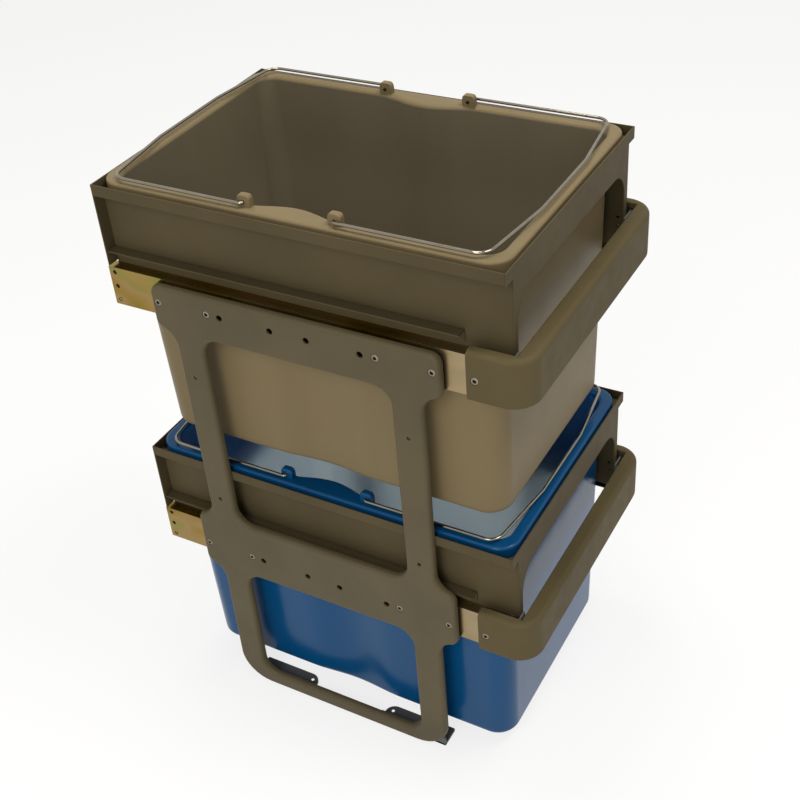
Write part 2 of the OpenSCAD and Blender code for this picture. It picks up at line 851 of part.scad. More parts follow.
// Plan of the handle at height z, with the outer boundary moved in by inset and the
// arms' inner faces at in_x
function handle_ring(inset, in_x, z) =
  let (
    x = frame_x - inset,
    y = bar_front + inset,
    r = handle_r - inset,
    steps = 2 * arc_steps,
    right = [for (i = [0:steps])
      let (a = 90 * i / steps)
      [x - r + r * sin(a), y + r - r * cos(a), z]]
  )
  concat(
    right,
    [[x, arm_rear, z], [in_x, arm_rear, z], [in_x, bar_back, z]],
    [[-in_x, bar_back, z], [-in_x, arm_rear, z], [-x, arm_rear, z]],
    [for (p = reversed(right)) [-p[0], p[1], z]]
  );

// End faces of the moulding: its two arms, each a fan from its inner corner, and its bar
handle_half = 2 * arc_steps + 4;
handle_ends = [
  concat([handle_half - 1], [for (i = [0:handle_half - 2]) i]),
  [for (i = [handle_half:2 * handle_half - 1]) i],
  [2 * handle_half - 1, 0, handle_half - 1, handle_half]
];

// The moulding's skin, with a lip that reaches inwards over the slides
module handle_form() {
  low = [for (i = [0:edge_steps])
    let (a = 90 * i / edge_steps)
    handle_ring(handle_low_r * (1 - sin(a)), arm_in, handle_low + handle_low_r * (1 - cos(a)))];
  lip = [
    handle_ring(0, arm_in, handle_lip_z - lip_slope),
    handle_ring(0, handle_lip_x, handle_lip_z)
  ];
  high = [for (i = [0:edge_steps])
    let (a = 90 * i / edge_steps)
    handle_ring(handle_top_r * (1 - cos(a)), handle_lip_x, handle_top - handle_top_r * (1 - sin(a)))];
  loft(concat(low, lip, high), handle_ends);
}

module handle() {
  hollow_x = frame_x - handle_r;
  difference() {
    handle_form();
    block([-hollow_x, bar_front + handle_wall, handle_low - 1],
          [hollow_x, bar_back - handle_wall, handle_top - handle_wall]);
    both_sides() {
      rod_x(screw_d + 2 * fit_gap, arm_in - 1, frame_x - head_sink / 2, arm_screw_y, arm_screw_z);
      rod_x(head_d + 2 * fit_gap, frame_x - head_sink, frame_x + 1, arm_screw_y, arm_screw_z);
    }
  }
}

module bracket() {
  front = collar_front - bracket_t;
  difference() {
    union() {
      block([wall_x - arch_leg_w, front, bracket_low], [arm_in, collar_front, bracket_top]);
      block([bracket_x, front, bracket_low], [arm_in, bracket_rear, bracket_top]);
    }
    rod_x(screw_d + 2 * fit_gap, bracket_x - 1, arm_in + 1, arm_screw_y, arm_screw_z);
    for (z = leg_screw_z) {
      rod_y(leg_screw_d + 2 * fit_gap, front - 1, collar_front + 1, leg_screw_x, z);
    }
  }
}

module arm_screw() {
  head_x = frame_x - head_sink + fit_gap;
  difference() {
    union() {
      rod_x(screw_d, bracket_x, head_x, arm_screw_y, arm_screw_z);
      rod_x(head_d, head_x, head_x + head_h, arm_screw_y, arm_screw_z);
    }
    translate([head_x + head_h / 2, arm_screw_y, arm_screw_z]) rotate([0, 90, 0]) {
      cylinder(d = socket_d, h = head_h, $fn = 6);
    }
  }
}

module leg_screw(z) {
  head_y = collar_front - bracket_t;
  rod_y(leg_screw_d, head_y, collar_front + collar_sheet, leg_screw_x, z);
  rod_y(leg_head_d, head_y - head_h, head_y, leg_screw_x, z);
}

module handle_screws() both_sides() {
  arm_screw();
  for (z = leg_screw_z) leg_screw(z);
}

module upper_handle() color(coat) upper() handle();

module lower_handle() color(coat) lower() handle();

module upper_left_bracket() color(steel) upper() left() bracket();

module upper_right_bracket() color(steel) upper() bracket();

module lower_left_bracket() color(steel) lower() left() bracket();

module lower_right_bracket() color(steel) lower() bracket();

module upper_handle_screws() color(bright) upper() handle_screws();

module lower_handle_screws() color(bright) lower() handle_screws();

// Bins: one closed skin from the floor up the outside, over the rim and down the inside

// A value that runs from the floor at height low to the rim, by share of the way
function between(at_floor, at_rim, share) = at_floor + (at_rim - at_floor) * share;

// Inward shift of a long wall at distance y from the middle
function hollow_at(depth, y) = abs(y) < hollow_half ? depth * (1 + cos(180 * y / hollow_half)) / 2 : 0;

// Half a bin ring, on the right side from front to rear
function bin_half_ring(hx, hy, r, depth) = concat(
  [for (i = [0:corner_steps])
    let (a = 90 * i / corner_steps)
    [hx - r + r * sin(a), -hy + r - r * cos(a)]],
  [for (i = [0:hollow_steps])
    let (y = hollow_half * (2 * i / hollow_steps - 1))
    [hx - hollow_at(depth, y), y]],
  [for (i = [0:corner_steps])
    let (a = 90 * i / corner_steps)
    [hx - r + r * cos(a), hy - r + r * sin(a)]]
);

function bin_ring(hx, hy, r, depth, z) =
  let (half = bin_half_ring(hx, hy, r, depth))
  concat(
    [for (p = half) [p[0], drawer_y + p[1], z]],
    [for (p = half) [-p[0], drawer_y - p[1], z]]
  );

// A ring of the wall at height z, moved in by inset, for a bin with its bottom at height low
function wall_ring(inset, z, low) =
  let (share = (z - low) / (rim_top - low))
  bin_ring(
    between(bin_top_x - bin_lean_side, bin_top_x, share) - inset,
    between(bin_top_y - bin_lean_end, bin_top_y, share) - inset,
    between(bin_low_r, bin_top_r, share) - inset,
    between(hollow_low, hollow_top, share),
    z
  );

// A ring of the rim at height z, moved in by inset
function rim_ring(inset, z) = bin_ring(rim_x - inset, rim_y - inset, rim_r - inset, 0, z);

module bin_shell(low) {
  inner_floor_r = bin_floor_r - bin_wall;
  mouth = bin_wall - mouth_edge_r;
  outside = concat(
    [for (a = [0, 30, 60, 90]) wall_ring(bin_floor_r * (1 - sin(a)), low + bin_floor_r * (1 - cos(a)), low)],
    [wall_ring(0, rim_under, low)]
  );
  rim = concat(
    [rim_ring(bin_wall, rim_under), rim_ring(bin_wall, skirt_low), rim_ring(0, skirt_low)],
    [for (a = [0, 45, 90]) rim_ring(rim_edge_r * (1 - cos(a)), rim_top - rim_edge_r * (1 - sin(a)))]
  );
  inside = concat(
    [for (a = [0, 45, 90]) wall_ring(mouth + mouth_edge_r * sin(a), rim_top - mouth_edge_r * (1 - cos(a)), low)],
    [for (a = [90, 60, 30, 0])
      wall_ring(bin_wall + inner_floor_r * (1 - sin(a)), low + bin_wall + inner_floor_r * (1 - cos(a)), low)]
  );
  loft(concat(outside, rim, inside));
}

// Pivot lug standing on the rim, and its bore
module lug(y) {
  rod_x(2 * lug_r, lug_in, lug_out, y, pivot_z);
  block([lug_in, y - lug_r, rim_under + bin_wall / 2], [lug_out, y + lug_r, pivot_z]);
}

module lug_bore(y) rod_x(wire_d + 2 * pin_gap, lug_in - 1, lug_out + 1, y, pivot_z);

module bin(low) difference() {
  union() {
    bin_shell(low);
    both_sides() for (s = [-1, 1]) lug(drawer_y + s * pivot_y);
  }
  both_sides() for (s = [-1, 1]) lug_bore(drawer_y + s * pivot_y);
}

module upper_bin() color(taupe) upper() bin(upper_bin_low);

module lower_bin() color(blue) lower() bin(lower_bin_low);

// Bails: the wire's route is a list of steps, [length, 0] for a straight run and
// [radius, angle] for a bend, left for a positive angle

function heading(a) = [cos(a), sin(a)];

// Stations [x, y, heading] along the steps from a point
function stations(steps, p, h, i = 0) =
  i == len(steps) ? [[p[0], p[1], h]] :
  let (size = steps[i][0], turn = steps[i][1])
  turn == 0 ? concat([[p[0], p[1], h]], stations(steps, p + size * heading(h), h, i + 1)) :
  let (centre = p + sign(turn) * size * left_of(heading(h)), n = ceil(abs(turn) / bend_step))
  concat(
    [for (j = [0:n - 1])
      let (a = h + turn * j / n, q = centre - sign(turn) * size * left_of(heading(a)))
      [q[0], q[1], a]],
    stations(steps, centre - sign(turn) * size * left_of(heading(h + turn)), h + turn, i + 1)
  );

// Ring of the wire at a station
function wire_ring(s) =
  let (n = left_of(heading(s[2])), r = wire_r - wire_skin)
  [for (j = [0:wire_sides - 1])
    let (t = 360 * j / wire_sides)
    [s[0] + r * cos(t) * n[0], s[1] + r * cos(t) * n[1], pivot_z + r * sin(t)]];

// The front bail: a wire from pivot to pivot, with a straight round pin in each lug
module front_bail() {
  bend_x = lug_out + seat_gap;
  pivot = drawer_y - pivot_y;
  turn = 90 - bail_slant;
  slant_run = (bail_x - bail_r * (1 - cos(turn)) - grip_bend_r * sin(bail_slant) - grip_half) / cos(bail_slant);
  slant_y = bail_r * sin(turn) + slant_run * sin(bail_slant) + grip_bend_r * (1 - cos(bail_slant));
  side_run = bail_reach - pivot_y - wire_bend_r - slant_y;
  steps = [
    [pin_lap, 0],
    [wire_bend_r, -90],
    [side_run, 0],
    [bail_r, -turn],
    [slant_run, 0],
    [grip_bend_r, -bail_slant]
  ];
  half = stations(steps, [bend_x - pin_lap, pivot], 0);
  route = concat(half, [for (s = reversed(half)) [-s[0], s[1], -s[2]]]);
  loft([for (s = route) wire_ring(s)]);
  both_sides() rod_x(wire_d, lug_in - wire_stub, bend_x, pivot, pivot_z);
}

module rear_bail() translate([0, 2 * drawer_y, 0]) mirror([0, 1, 0]) front_bail();

module upper_front_bail() color(bright) upper() front_bail();

module upper_rear_bail() color(bright) upper() rear_bail();

module lower_front_bail() color(bright) lower() front_bail();

module lower_rear_bail() color(bright) lower() rear_bail();

// Pieces

left_side_frame();
right_side_frame();
left_front_foot();
left_rear_foot();
right_front_foot();
right_rear_foot();
foot_screws();
upper_left_outer_rail();
upper_right_outer_rail();
lower_left_outer_rail();
lower_right_outer_rail();
left_rail_screws();
right_rail_screws();
upper_collar();
upper_left_cover();
upper_right_cover();
upper_left_inner_rail();
upper_right_inner_rail();
upper_rivets();
upper_handle();
upper_left_bracket();
upper_right_bracket();
upper_handle_screws();
upper_left_middle_rail();
upper_right_middle_rail();
upper_left_outer_cage();
upper_right_outer_cage();
upper_left_outer_balls();
upper_right_outer_balls();
upper_left_inner_cage();
upper_right_inner_cage();
upper_left_inner_balls();
upper_right_inner_balls();
upper_bin();
upper_rear_bail();
upper_front_bail();
lower_collar();
lower_left_cover();
lower_right_cover();
lower_left_inner_rail();
lower_right_inner_rail();
lower_rivets();
lower_handle();
lower_left_bracket();
lower_right_bracket();
lower_handle_screws();
lower_left_middle_rail();
lower_right_middle_rail();
lower_left_outer_cage();
lower_right_outer_cage();
lower_left_outer_balls();
lower_right_outer_balls();
lower_left_inner_cage();
lower_right_inner_cage();
lower_left_inner_balls();
lower_right_inner_balls();
lower_bin();
lower_rear_bail();
lower_front_bail();
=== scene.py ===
import math

import bmesh
import bpy
from mathutils import Matrix, Vector


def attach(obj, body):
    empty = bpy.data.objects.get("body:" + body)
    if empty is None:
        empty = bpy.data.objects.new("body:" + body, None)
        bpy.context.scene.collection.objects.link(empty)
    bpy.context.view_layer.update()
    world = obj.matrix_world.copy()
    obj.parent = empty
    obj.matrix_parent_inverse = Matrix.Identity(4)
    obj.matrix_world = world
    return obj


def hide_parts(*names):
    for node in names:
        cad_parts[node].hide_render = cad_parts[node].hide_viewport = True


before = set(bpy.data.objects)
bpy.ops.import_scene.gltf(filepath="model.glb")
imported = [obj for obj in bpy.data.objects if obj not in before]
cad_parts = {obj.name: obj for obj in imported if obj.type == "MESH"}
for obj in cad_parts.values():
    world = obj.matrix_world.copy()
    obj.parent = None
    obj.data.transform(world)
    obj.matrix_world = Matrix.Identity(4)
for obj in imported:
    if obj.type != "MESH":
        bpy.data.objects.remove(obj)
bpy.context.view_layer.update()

# Sizes in millimetres. The front is towards -Y, the sides mirror each other about X = 0, and
# the heights of a drawer's pieces are above the line of its slides.
SLIDE_LINES = {"upper": 550.0, "lower": 219.0}
DRAWER_Y = -4.7

# Side frames
FRAME_X, BACK_X, RAIL_X = 161.5, 154.0, 151.0
FRAME_SHEET, EDGE_DROP, EDGE_IN, EDGE_STEPS = 2.0, 6.0, 4.2, 6
LEG_OUT, LEG_IN, LEG_MIDDLE = 143.4, 109.4, 126.4
EAR_Y, EAR_R, EAR_FILLET_R, EAR_HALF_SLOPE = 165.0, 11.0, 20.0, 4.0
UPPER_BEAM, MIDDLE_BEAM = (517.0, 570.0), (186.0, 266.0)
SILL_H, FOOT_CORNER_R, WINDOW_R = 20.0, 40.0, 21.0
SCREW_ROWS = (-156.4, -96.7, 96.7, 156.4)
SPARE_ROWS = (-80.6, -20.9, 20.9, 80.6)
LEG_HOLES = (464.5, 297.0)
SPARE_R, LEG_HOLE_R, HOLE_LIP = 3.5, 2.25, 0.2
BOSS_R, BOSS_EASE, BOSS_INSET = 6.0, 0.5, 1.2
SILL_BOSS_R, SILL_BORE_R = 4.5, 2.1

# Screws: the radii of head, shank and hexagon socket, and the form of the head
HEAD_R, SHANK_R, SOCKET_R = 4.0, 2.4, 2.2
LARGE_SCREW, SMALL_SCREW = (HEAD_R, SHANK_R, SOCKET_R), (3.5, 2.0, 1.76)
HEAD_H, HEAD_SINK, HEAD_EASE, FIT = 2.4, 2.7, 0.5, 0.1
SOCKET_LAND, SOCKET_STEP, SOCKET_DEPTH = 0.35, 0.15, 0.55
UNDER_HEAD = FRAME_X - HEAD_SINK + FIT
RAIL_SCREW_PAST, FOOT_SHANK = 1.2, 6.5

# Feet
FOOT_X, FOOT_NEAR, FRONT_FOOT_FAR, REAR_FOOT_FAR = (129.0, 154.0), 49.0, 137.5, 128.0
FOOT_T, FOOT_H, UPSTAND_R, FOOT_FAR_R, FOOT_EASE = 3.0, 17.0, 8.0, 1.5, 0.5
FOOT_TIP_FLAT = 0.05
FLOOR_HOLE, FLOOR_HOLE_R, FLOOR_HOLE_NECK_R = (137.0, 57.5), 2.5, 1.9
FOOT_SCREWS = (63.0, 103.5)

# Collars and the covers over the slides
WALL_X, BAND_X, COLLAR_SHEET = 138.3, 153.0, 1.5
COLLAR_FRONT, COLLAR_REAR = -229.7, 220.3
COLLAR_TOP, SHELF_LOW, WALL_LOW, REAR_STEP = 117.0, 104.0, -12.5, 25.0
SHELF_BEND_R, BAND_BEND_R, BAND_EASE, WALL_EASE = 1.0, 2.0, 0.5, 0.4
WALL_HOLE_IN, WALL_HOLE_Z, WALL_HOLE_R = 8.7, (21.0, 11.0), 2.0
ARCH_HALF, ARCH_TOP, ARCH_R = 130.0, 81.0, 30.0
COVER_TOP, COVER_LIP, COVER_SHEET, COVER_FRONT, COVER_BEND_R = 41.0, 13.0, 1.2, -181.0, 1.6

# Handles and their brackets
BAR_FRONT, BAR_BACK, ARM_REAR = -254.5, -237.0, -191.8
HANDLE_LOW, HANDLE_TOP, LIP_Z, LIP_SLOPE = -20.0, 33.5, 27.0, 2.0
LIP_X, ARM_IN, HANDLE_R, HANDLE_WALL = 149.0, 153.3, 28.0, 3.0
HANDLE_TOP_EASE, HANDLE_LOW_EASE, LIP_EASE = 6.0, 3.0, 1.5
ARM_SCREW_Y, ARM_SCREW_Z = -200.0, 3.0
BRACKET_X, BRACKET_T, BRACKET_REAR, BRACKET_BEND_R = 151.3, 2.0, -194.0, 2.6
BRACKET_LOW, BRACKET_TOP = -12.0, 24.5
LEG_SCREW_X, LEG_SCREW_Z = 134.15, (-3.0, 17.0)

# Bins: half sizes are (across, along), and the inside's finish, which carries painted light, starts
# below the mouth
BIN_LOWS = {"upper": -187.0, "lower": -198.0}
RIM_TOP, SKIRT_LOW, BIN_WALL = 120.0, 105.8, 2.5
BIN_FLOOR_HALF, BIN_TOP_HALF, RIM_HALF = (132.0, 205.5), (135.0, 210.0), (147.0, 221.0)
BIN_LOW_R, BIN_TOP_R, RIM_R = 27.0, 20.0, 23.0
BIN_FLOOR_R, MOUTH_R, RIM_EDGE_R = 9.0, 5.0, 3.0
HOLLOW_TOP, HOLLOW_LOW, HOLLOW_HALF = 12.0, 4.0, 62.0
INSIDE_BELOW, INSIDE_FROM_RIM, FACING = 4.0, 8.0, 0.3
BIN_CORNER_STEPS, BIN_SIDE_CUTS = 10, 47
PIVOT_Z, PIVOT_Y, LUG_X = 125.0, 49.5, (132.5, 139.5)
LUG_R, LUG_SHOULDER_R, LUG_EASE, BORE_FIT = 7.0, 4.0, 0.9, 0.05

# Bails
WIRE_R, WIRE_STEPS, BEND_STEP = 1.6, 14, 9.0
BAIL_REACH, BAIL_R, BAIL_BEND_R, BAIL_SLANT = 213.5, 15.0, 3.0, 7.0
GRIP_HALF, GRIP_BEND_R = 50.0, 15.0
PIN_IN, PIN_OUT = 2.0, 0.3

# Mesh making: NEAR is how close two places count as one, and SHARP the angle of a hard edge
ALONG_X, ALONG_Y, ALONG_Z = Vector((1, 0, 0)), Vector((0, 1, 0)), Vector((0, 0, 1))
METRES = 0.001
NEAR = 0.01
SHARP = math.radians(40)
ROUND_STEPS, CORNER_STEPS, FOLD_STEPS = 24, 8, 4


def only(made, kind):
    """The verts, edges or faces among what an operator made."""
    return [g for g in made if isinstance(g, kind)]


def upright_on(centre, axis):
    """The placing that sets a part made round Z on a centre, along an axis."""
    turn = ALONG_Z.rotation_difference(Vector(axis)).to_matrix().to_4x4()
    return Matrix.Translation(centre) @ turn


def polygon(bm, points):
    return bm.faces.new([bm.verts.new(p) for p in points])


def round_corner(bm, vert, radius, steps):
    """Rounds a corner of a flat face to the given radius."""
    a, b = [e.other_vert(vert).co - vert.co for e in vert.link_edges]
    reach = radius / math.tan(a.angle(b) / 2)
    bmesh.ops.bevel(bm, geom=[vert], offset=reach, offset_type="ABSOLUTE", affect="VERTICES",
                    segments=steps, profile=0.5, material=-1, clamp_overlap=False)


def rounded_outline(bm, corners, place, steps):
    """A flat face with corners (u, v, radius), placed by a function of u and v."""
    face = polygon(bm, [place(u, v) for u, v, _ in corners])
    others = set(bm.faces) - {face}
    for vert, corner in zip(list(face.verts), corners):
        if corner[2]:
            round_corner(bm, vert, corner[2], steps)
    return next(f for f in bm.faces if f not in others)


def open_up(bm, faces):
    """Takes faces away and leaves their edges."""
    bmesh.ops.delete(bm, geom=faces, context="FACES_ONLY")


def ease(bm, edges, width, steps):
    """Rounds edges to the given width."""
    bmesh.ops.bevel(bm, geom=list(edges), offset=width, offset_type="OFFSET", affect="EDGES",
                    segments=steps, profile=0.5, material=-1, clamp_overlap=True)


def ring(bm, centre, axis, radius):
    """The edges of a circle round an axis."""
    made = bmesh.ops.create_circle(bm, cap_ends=False, radius=radius, segments=ROUND_STEPS,
                                   matrix=upright_on(centre, axis))
    return list({e for v in made["verts"] for e in v.link_edges})


def fill(bm, edges, normal):
    """Fills outlines and the holes in them with flat faces."""
    made = bmesh.ops.triangle_fill(bm, use_beauty=True, use_dissolve=False, edges=edges,
                                   normal=normal)
    return only(made["geom"], bmesh.types.BMFace)


def run(bm, edges, step):
    """Draws a row of edges on by a step into a strip, and returns the new row."""
    made = bmesh.ops.extrude_edge_only(bm, edges=edges)["geom"]
    bmesh.ops.translate(bm, vec=step, verts=only(made, bmesh.types.BMVert))
    return only(made, bmesh.types.BMEdge)


def sink(bm, edges, centre, ratio, step):
    """Draws a ring of edges on by a step and narrows it, and returns the new ring."""
    made = bmesh.ops.extrude_edge_only(bm, edges=edges)["geom"]
    verts = only(made, bmesh.types.BMVert)
    bmesh.ops.scale(bm, vec=(ratio, ratio, ratio), space=Matrix.Translation(-Vector(centre)),
                    verts=verts)
    bmesh.ops.translate(bm, vec=step, verts=verts)
    return only(made, bmesh.types.BMEdge)


def push(bm, faces, step):
    """Draws faces on by a step into a block, and returns the new faces."""
    made = bmesh.ops.extrude_face_region(bm, geom=faces)["geom"]
    bmesh.ops.translate(bm, vec=step, verts=only(made, bmesh.types.BMVert))
    return only(made, bmesh.types.BMFace)


def fold(bm, edges, pivot, axis, angle):
    """Bends a sheet on round a pivot line, and returns the new row of edges."""
    made = bmesh.ops.spin(bm, geom=edges, cent=pivot, axis=axis, angle=math.radians(angle),
                          steps=FOLD_STEPS, use_merge=False, use_duplicate=False)
    return only(made["geom_last"], bmesh.types.BMEdge)


def edges_where(bm, test):
    """The edges whose two ends pass a test of place."""
    return [e for e in bm.edges if all(test(v.co) for v in e.verts)]


def is_sharp(edge):
    return edge.calc_face_angle(0) > SHARP


def face_sheet(bm, towards):
    """Turns a sheet's faces so that the widest one looks the given way."""
    bmesh.ops.remove_doubles(bm, verts=bm.verts, dist=NEAR)
    bmesh.ops.recalc_face_normals(bm, faces=bm.faces)
    bm.normal_update()
    widest = max(bm.faces, key=lambda f: f.calc_area())
    if widest.normal.dot(towards) < 0:
        bmesh.ops.reverse_faces(bm, faces=bm.faces)
    bm.normal_update()


def thicken(bm, sheet):
    """Gives a sheet its thickness behind its faces."""
    bmesh.ops.solidify(bm, geom=bm.faces[:], thickness=sheet)


def spun(profile, closed):
    """A mesh spun round Z from (radius, height) points, whose last joins the first if closed."""
    part = bmesh.new()
    verts = [part.verts.new((r, 0, z)) for r, z in profile]
    ends = verts[1:] + verts[:1] if closed else verts[1:]
    edges = [part.edges.new(pair) for pair in zip(verts, ends)]
    bmesh.ops.spin(part, geom=verts + edges, cent=(0, 0, 0), axis=ALONG_Z, angle=math.tau,
                   steps=ROUND_STEPS, use_merge=True, use_duplicate=False)
    bmesh.ops.remove_doubles(part, verts=part.verts, dist=NEAR)
    return part


def join(bm, part, place=Matrix.Identity(4)):
    """Adds a finished part to a mesh."""
    bmesh.ops.transform(part, matrix=place, verts=part.verts)
    held = bpy.data.meshes.new("held")
    part.to_mesh(held)
    part.free()
    bm.from_mesh(held)
    bpy.data.meshes.remove(held)


def bush(bm, profile, centre):
    """Adds a ring with a bore, spun from a closed profile and set across the frame."""
    part = spun(profile, closed=True)
    bmesh.ops.recalc_face_normals(part, faces=part.faces)
    join(bm, part, upright_on(centre, ALONG_X))


def mirrored(bm):
    """The same piece for the other side."""
    bmesh.ops.scale(bm, vec=(-1, 1, 1), verts=bm.verts)
    bmesh.ops.reverse_faces(bm, faces=bm.faces)
    return bm


def front_to_rear(bm, about=0.0):
    """The same piece for the other end."""
    bmesh.ops.scale(bm, vec=(1, -1, 1), verts=bm.verts)
    bmesh.ops.translate(bm, vec=(0, 2 * about, 0), verts=bm.verts)
    bmesh.ops.reverse_faces(bm, faces=bm.faces)
    return bm


def at_height(bm, z):
    bmesh.ops.translate(bm, vec=(0, 0, z), verts=bm.verts)
    return bm


def piece(name, bm, body, finish, node, inner=None):
    """Makes the mesh an object in metres that rides on a body and stands for a node."""
    bmesh.ops.scale(bm, vec=(METRES, METRES, METRES), verts=bm.verts)
    bm.normal_update()
    for f in bm.faces:
        f.smooth = True
    for e in bm.edges:
        e.smooth = len(e.link_faces) == 2 and e.calc_face_angle() < SHARP
    mesh = bpy.data.meshes.new(name)
    bm.to_mesh(mesh)
    bm.free()
    mesh.materials.append(finish)
    if inner:
        mesh.materials.append(inner)
    obj = bpy.data.objects.new(name, mesh)
    bpy.context.scene.collection.objects.link(obj)
    even = obj.modifiers.new("even_shading", "WEIGHTED_NORMAL")
    even.keep_sharp = True
    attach(obj, body)
    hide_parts(node)


def both_sides(name, make, body, finish, node, inner=None):
    """Makes a right piece and its mirror. The side's name goes into the names' braces."""
    piece(name.format("right"), make(), body, finish, node.format("right"), inner)
    piece(name.format("left"), mirrored(make()), body, finish, node.format("left"), inner)


# Materials

class Finish:
    """A material built round one shader, patterned on Object coordinates, in metres."""

    def __init__(self, name, **values):
        self.material = bpy.data.materials.new(name)
        self.material.use_nodes = True
        self.nodes = self.material.node_tree.nodes
        self.links = self.material.node_tree.links
        self.shader = self.nodes["Principled BSDF"]
        self.coords = self.nodes.new("ShaderNodeTexCoord").outputs["Object"]
        for key, value in values.items():
            socket = key.replace("_", " ").title().replace("Ior", "IOR")
            self.shader.inputs[socket].default_value = value

    def node(self, kind, values=(), **settings):
        made = self.nodes.new(kind)
        for key, value in settings.items():
            setattr(made, key, value)
        for socket, value in dict(values).items():
            if isinstance(value, bpy.types.NodeSocket):
                self.links.new(value, made.inputs[socket])
            else:
                made.inputs[socket].default_value = value
        return made

    def noise(self, scale, detail=3.0, rough=0.5, stretch=None):
        """Noise with about scale features a metre, times stretch along each axis."""
        where = self.coords
        if stretch:
            mapping = self.node("ShaderNodeMapping", {"Vector": where, "Scale": stretch})
            where = mapping.outputs["Vector"]
        values = {"Vector": where, "Scale": scale, "Detail": detail, "Roughness": rough}
        return self.node("ShaderNodeTexNoise", values).outputs["Fac"]

    def ramp(self, factor, stops):
        made = self.node("ShaderNodeValToRGB", {"Fac": factor})
        elements = made.color_ramp.elements
        while len(elements) < len(stops):
            elements.new(0.5)
        for element, (place, colour) in zip(elements, stops):
            element.position = place
            element.color = (*colour, 1)
        return made.outputs["Color"]

    def mix(self, factor, a, b, kind="MIX"):
        made = self.node("ShaderNodeMix", data_type="RGBA", blend_type=kind)
        sockets = made.inputs[0], made.inputs[6], made.inputs[7]
        for socket, value in zip(sockets, (factor, a, b)):
            if isinstance(value, bpy.types.NodeSocket):
                self.links.new(value, socket)
            elif isinstance(value, float):
                socket.default_value = value
            else:
                socket.default_value = (*value, 1)
        return made.outputs[2]

    def spread(self, factor, low, high):
        """Spreads the middle of a noise over a range."""
        values = {"Value": factor, "From Min": 0.3, "From Max": 0.7, "To Min": low, "To Max": high}
        return self.node("ShaderNodeMapRange", values).outputs["Result"]

    def fade(self, axis, start, end, most):
        """A share that falls from most to nothing between two places along an axis."""
        place = self.node("ShaderNodeSeparateXYZ", {"Vector": self.coords}).outputs[axis]
        values = {"Value": place, "From Min": start, "From Max": end, "To Min": most, "To Max": 0.0}
        made = self.node("ShaderNodeMapRange", values, interpolation_type="SMOOTHSTEP")
        return made.outputs["Result"]

    def drive(self, socket, output):
        self.links.new(output, self.shader.inputs[socket])

    def bump(self, height, strength, distance):
        values = {"Height": height, "Strength": strength, "Distance": distance}
        self.drive("Normal", self.node("ShaderNodeBump", values).outputs["Normal"])


def shades(colour, low, high):
    return tuple(c * low for c in colour), tuple(c * high for c in colour)


def grey(value):
    return value, value, value


def satin_coat(name, colour, gloss, rough=(0.42, 0.52), peel=0.35):
    """Baked satin coat: faint cloudiness, orange peel and a fine grain."""
    f = Finish(name, specular_ior_level=gloss)
    low, high = shades(colour, 0.9, 1.08)
    cloud = f.ramp(f.noise(9.0, 4.0), [(0.32, low), (0.68, high)])
    grain = f.ramp(f.noise(2600.0, 2.0), [(0.35, grey(0.9)), (0.65, grey(1))])
    f.drive("Base Color", f.mix(0.7, cloud, grain, "MULTIPLY"))
    f.drive("Roughness", f.spread(f.noise(60.0, 4.0), *rough))
    f.bump(f.noise(420.0, 2.0), peel, 0.00025)
    return f.material


ZINC_TINTS = [(0.28, (0.18, 0.11, 0.015)), (0.42, (0.27, 0.18, 0.03)), (0.52, (0.33, 0.21, 0.08)),
              (0.62, (0.26, 0.22, 0.05)), (0.74, (0.31, 0.22, 0.06))]
ZINC_FRONT_TINT_AND_LIGHT = (0.37, 0.29, 0.19)


def zinc_plate(name):
    """Yellow passivated zinc: gold with soft bands, faintly cloudy, paler and pinker at the front
    ends; the paleness is painted light where the ends leave the collar's shade, the pink is the
    plating's own tint.
    """
    f = Finish(name, metallic=0.95)
    tint = f.ramp(f.noise(5.5, 1.0, 0.4, stretch=(3.0, 2.2, 6.0)), ZINC_TINTS)
    # Front ends: paler as painted light out of the collar's shade, pinker as the plating's own tint
    tint = f.mix(f.fade("Y", -0.2, -0.1, most=0.8), tint, ZINC_FRONT_TINT_AND_LIGHT)
    cloud = f.ramp(f.noise(45.0, 3.0, stretch=(1.0, 0.5, 1.0)), [(0.3, grey(0.9)), (0.7, grey(1))])
    f.drive("Base Color", f.mix(0.8, tint, cloud, "MULTIPLY"))
    f.drive("Roughness", f.spread(f.noise(20.0, 2.0), 0.22, 0.30))
    f.bump(f.noise(25.0, 2.0, stretch=(1.0, 0.25, 1.0)), 0.06, 0.0004)
    return f.material


def bright_metal(name, colour, rough, grain, stretch=None):
    """Drawn or plated metal with a fine grain."""
    f = Finish(name, metallic=1.0)
    low, high = shades(colour, 0.86, 1.06)
    f.drive("Base Color", f.ramp(f.noise(grain, stretch=stretch), [(0.3, low), (0.7, high)]))
    f.drive("Roughness", f.spread(f.noise(grain * 1.7), *rough))
    f.bump(f.noise(grain * 4, 2.0), 0.05, 0.0001)
    return f.material


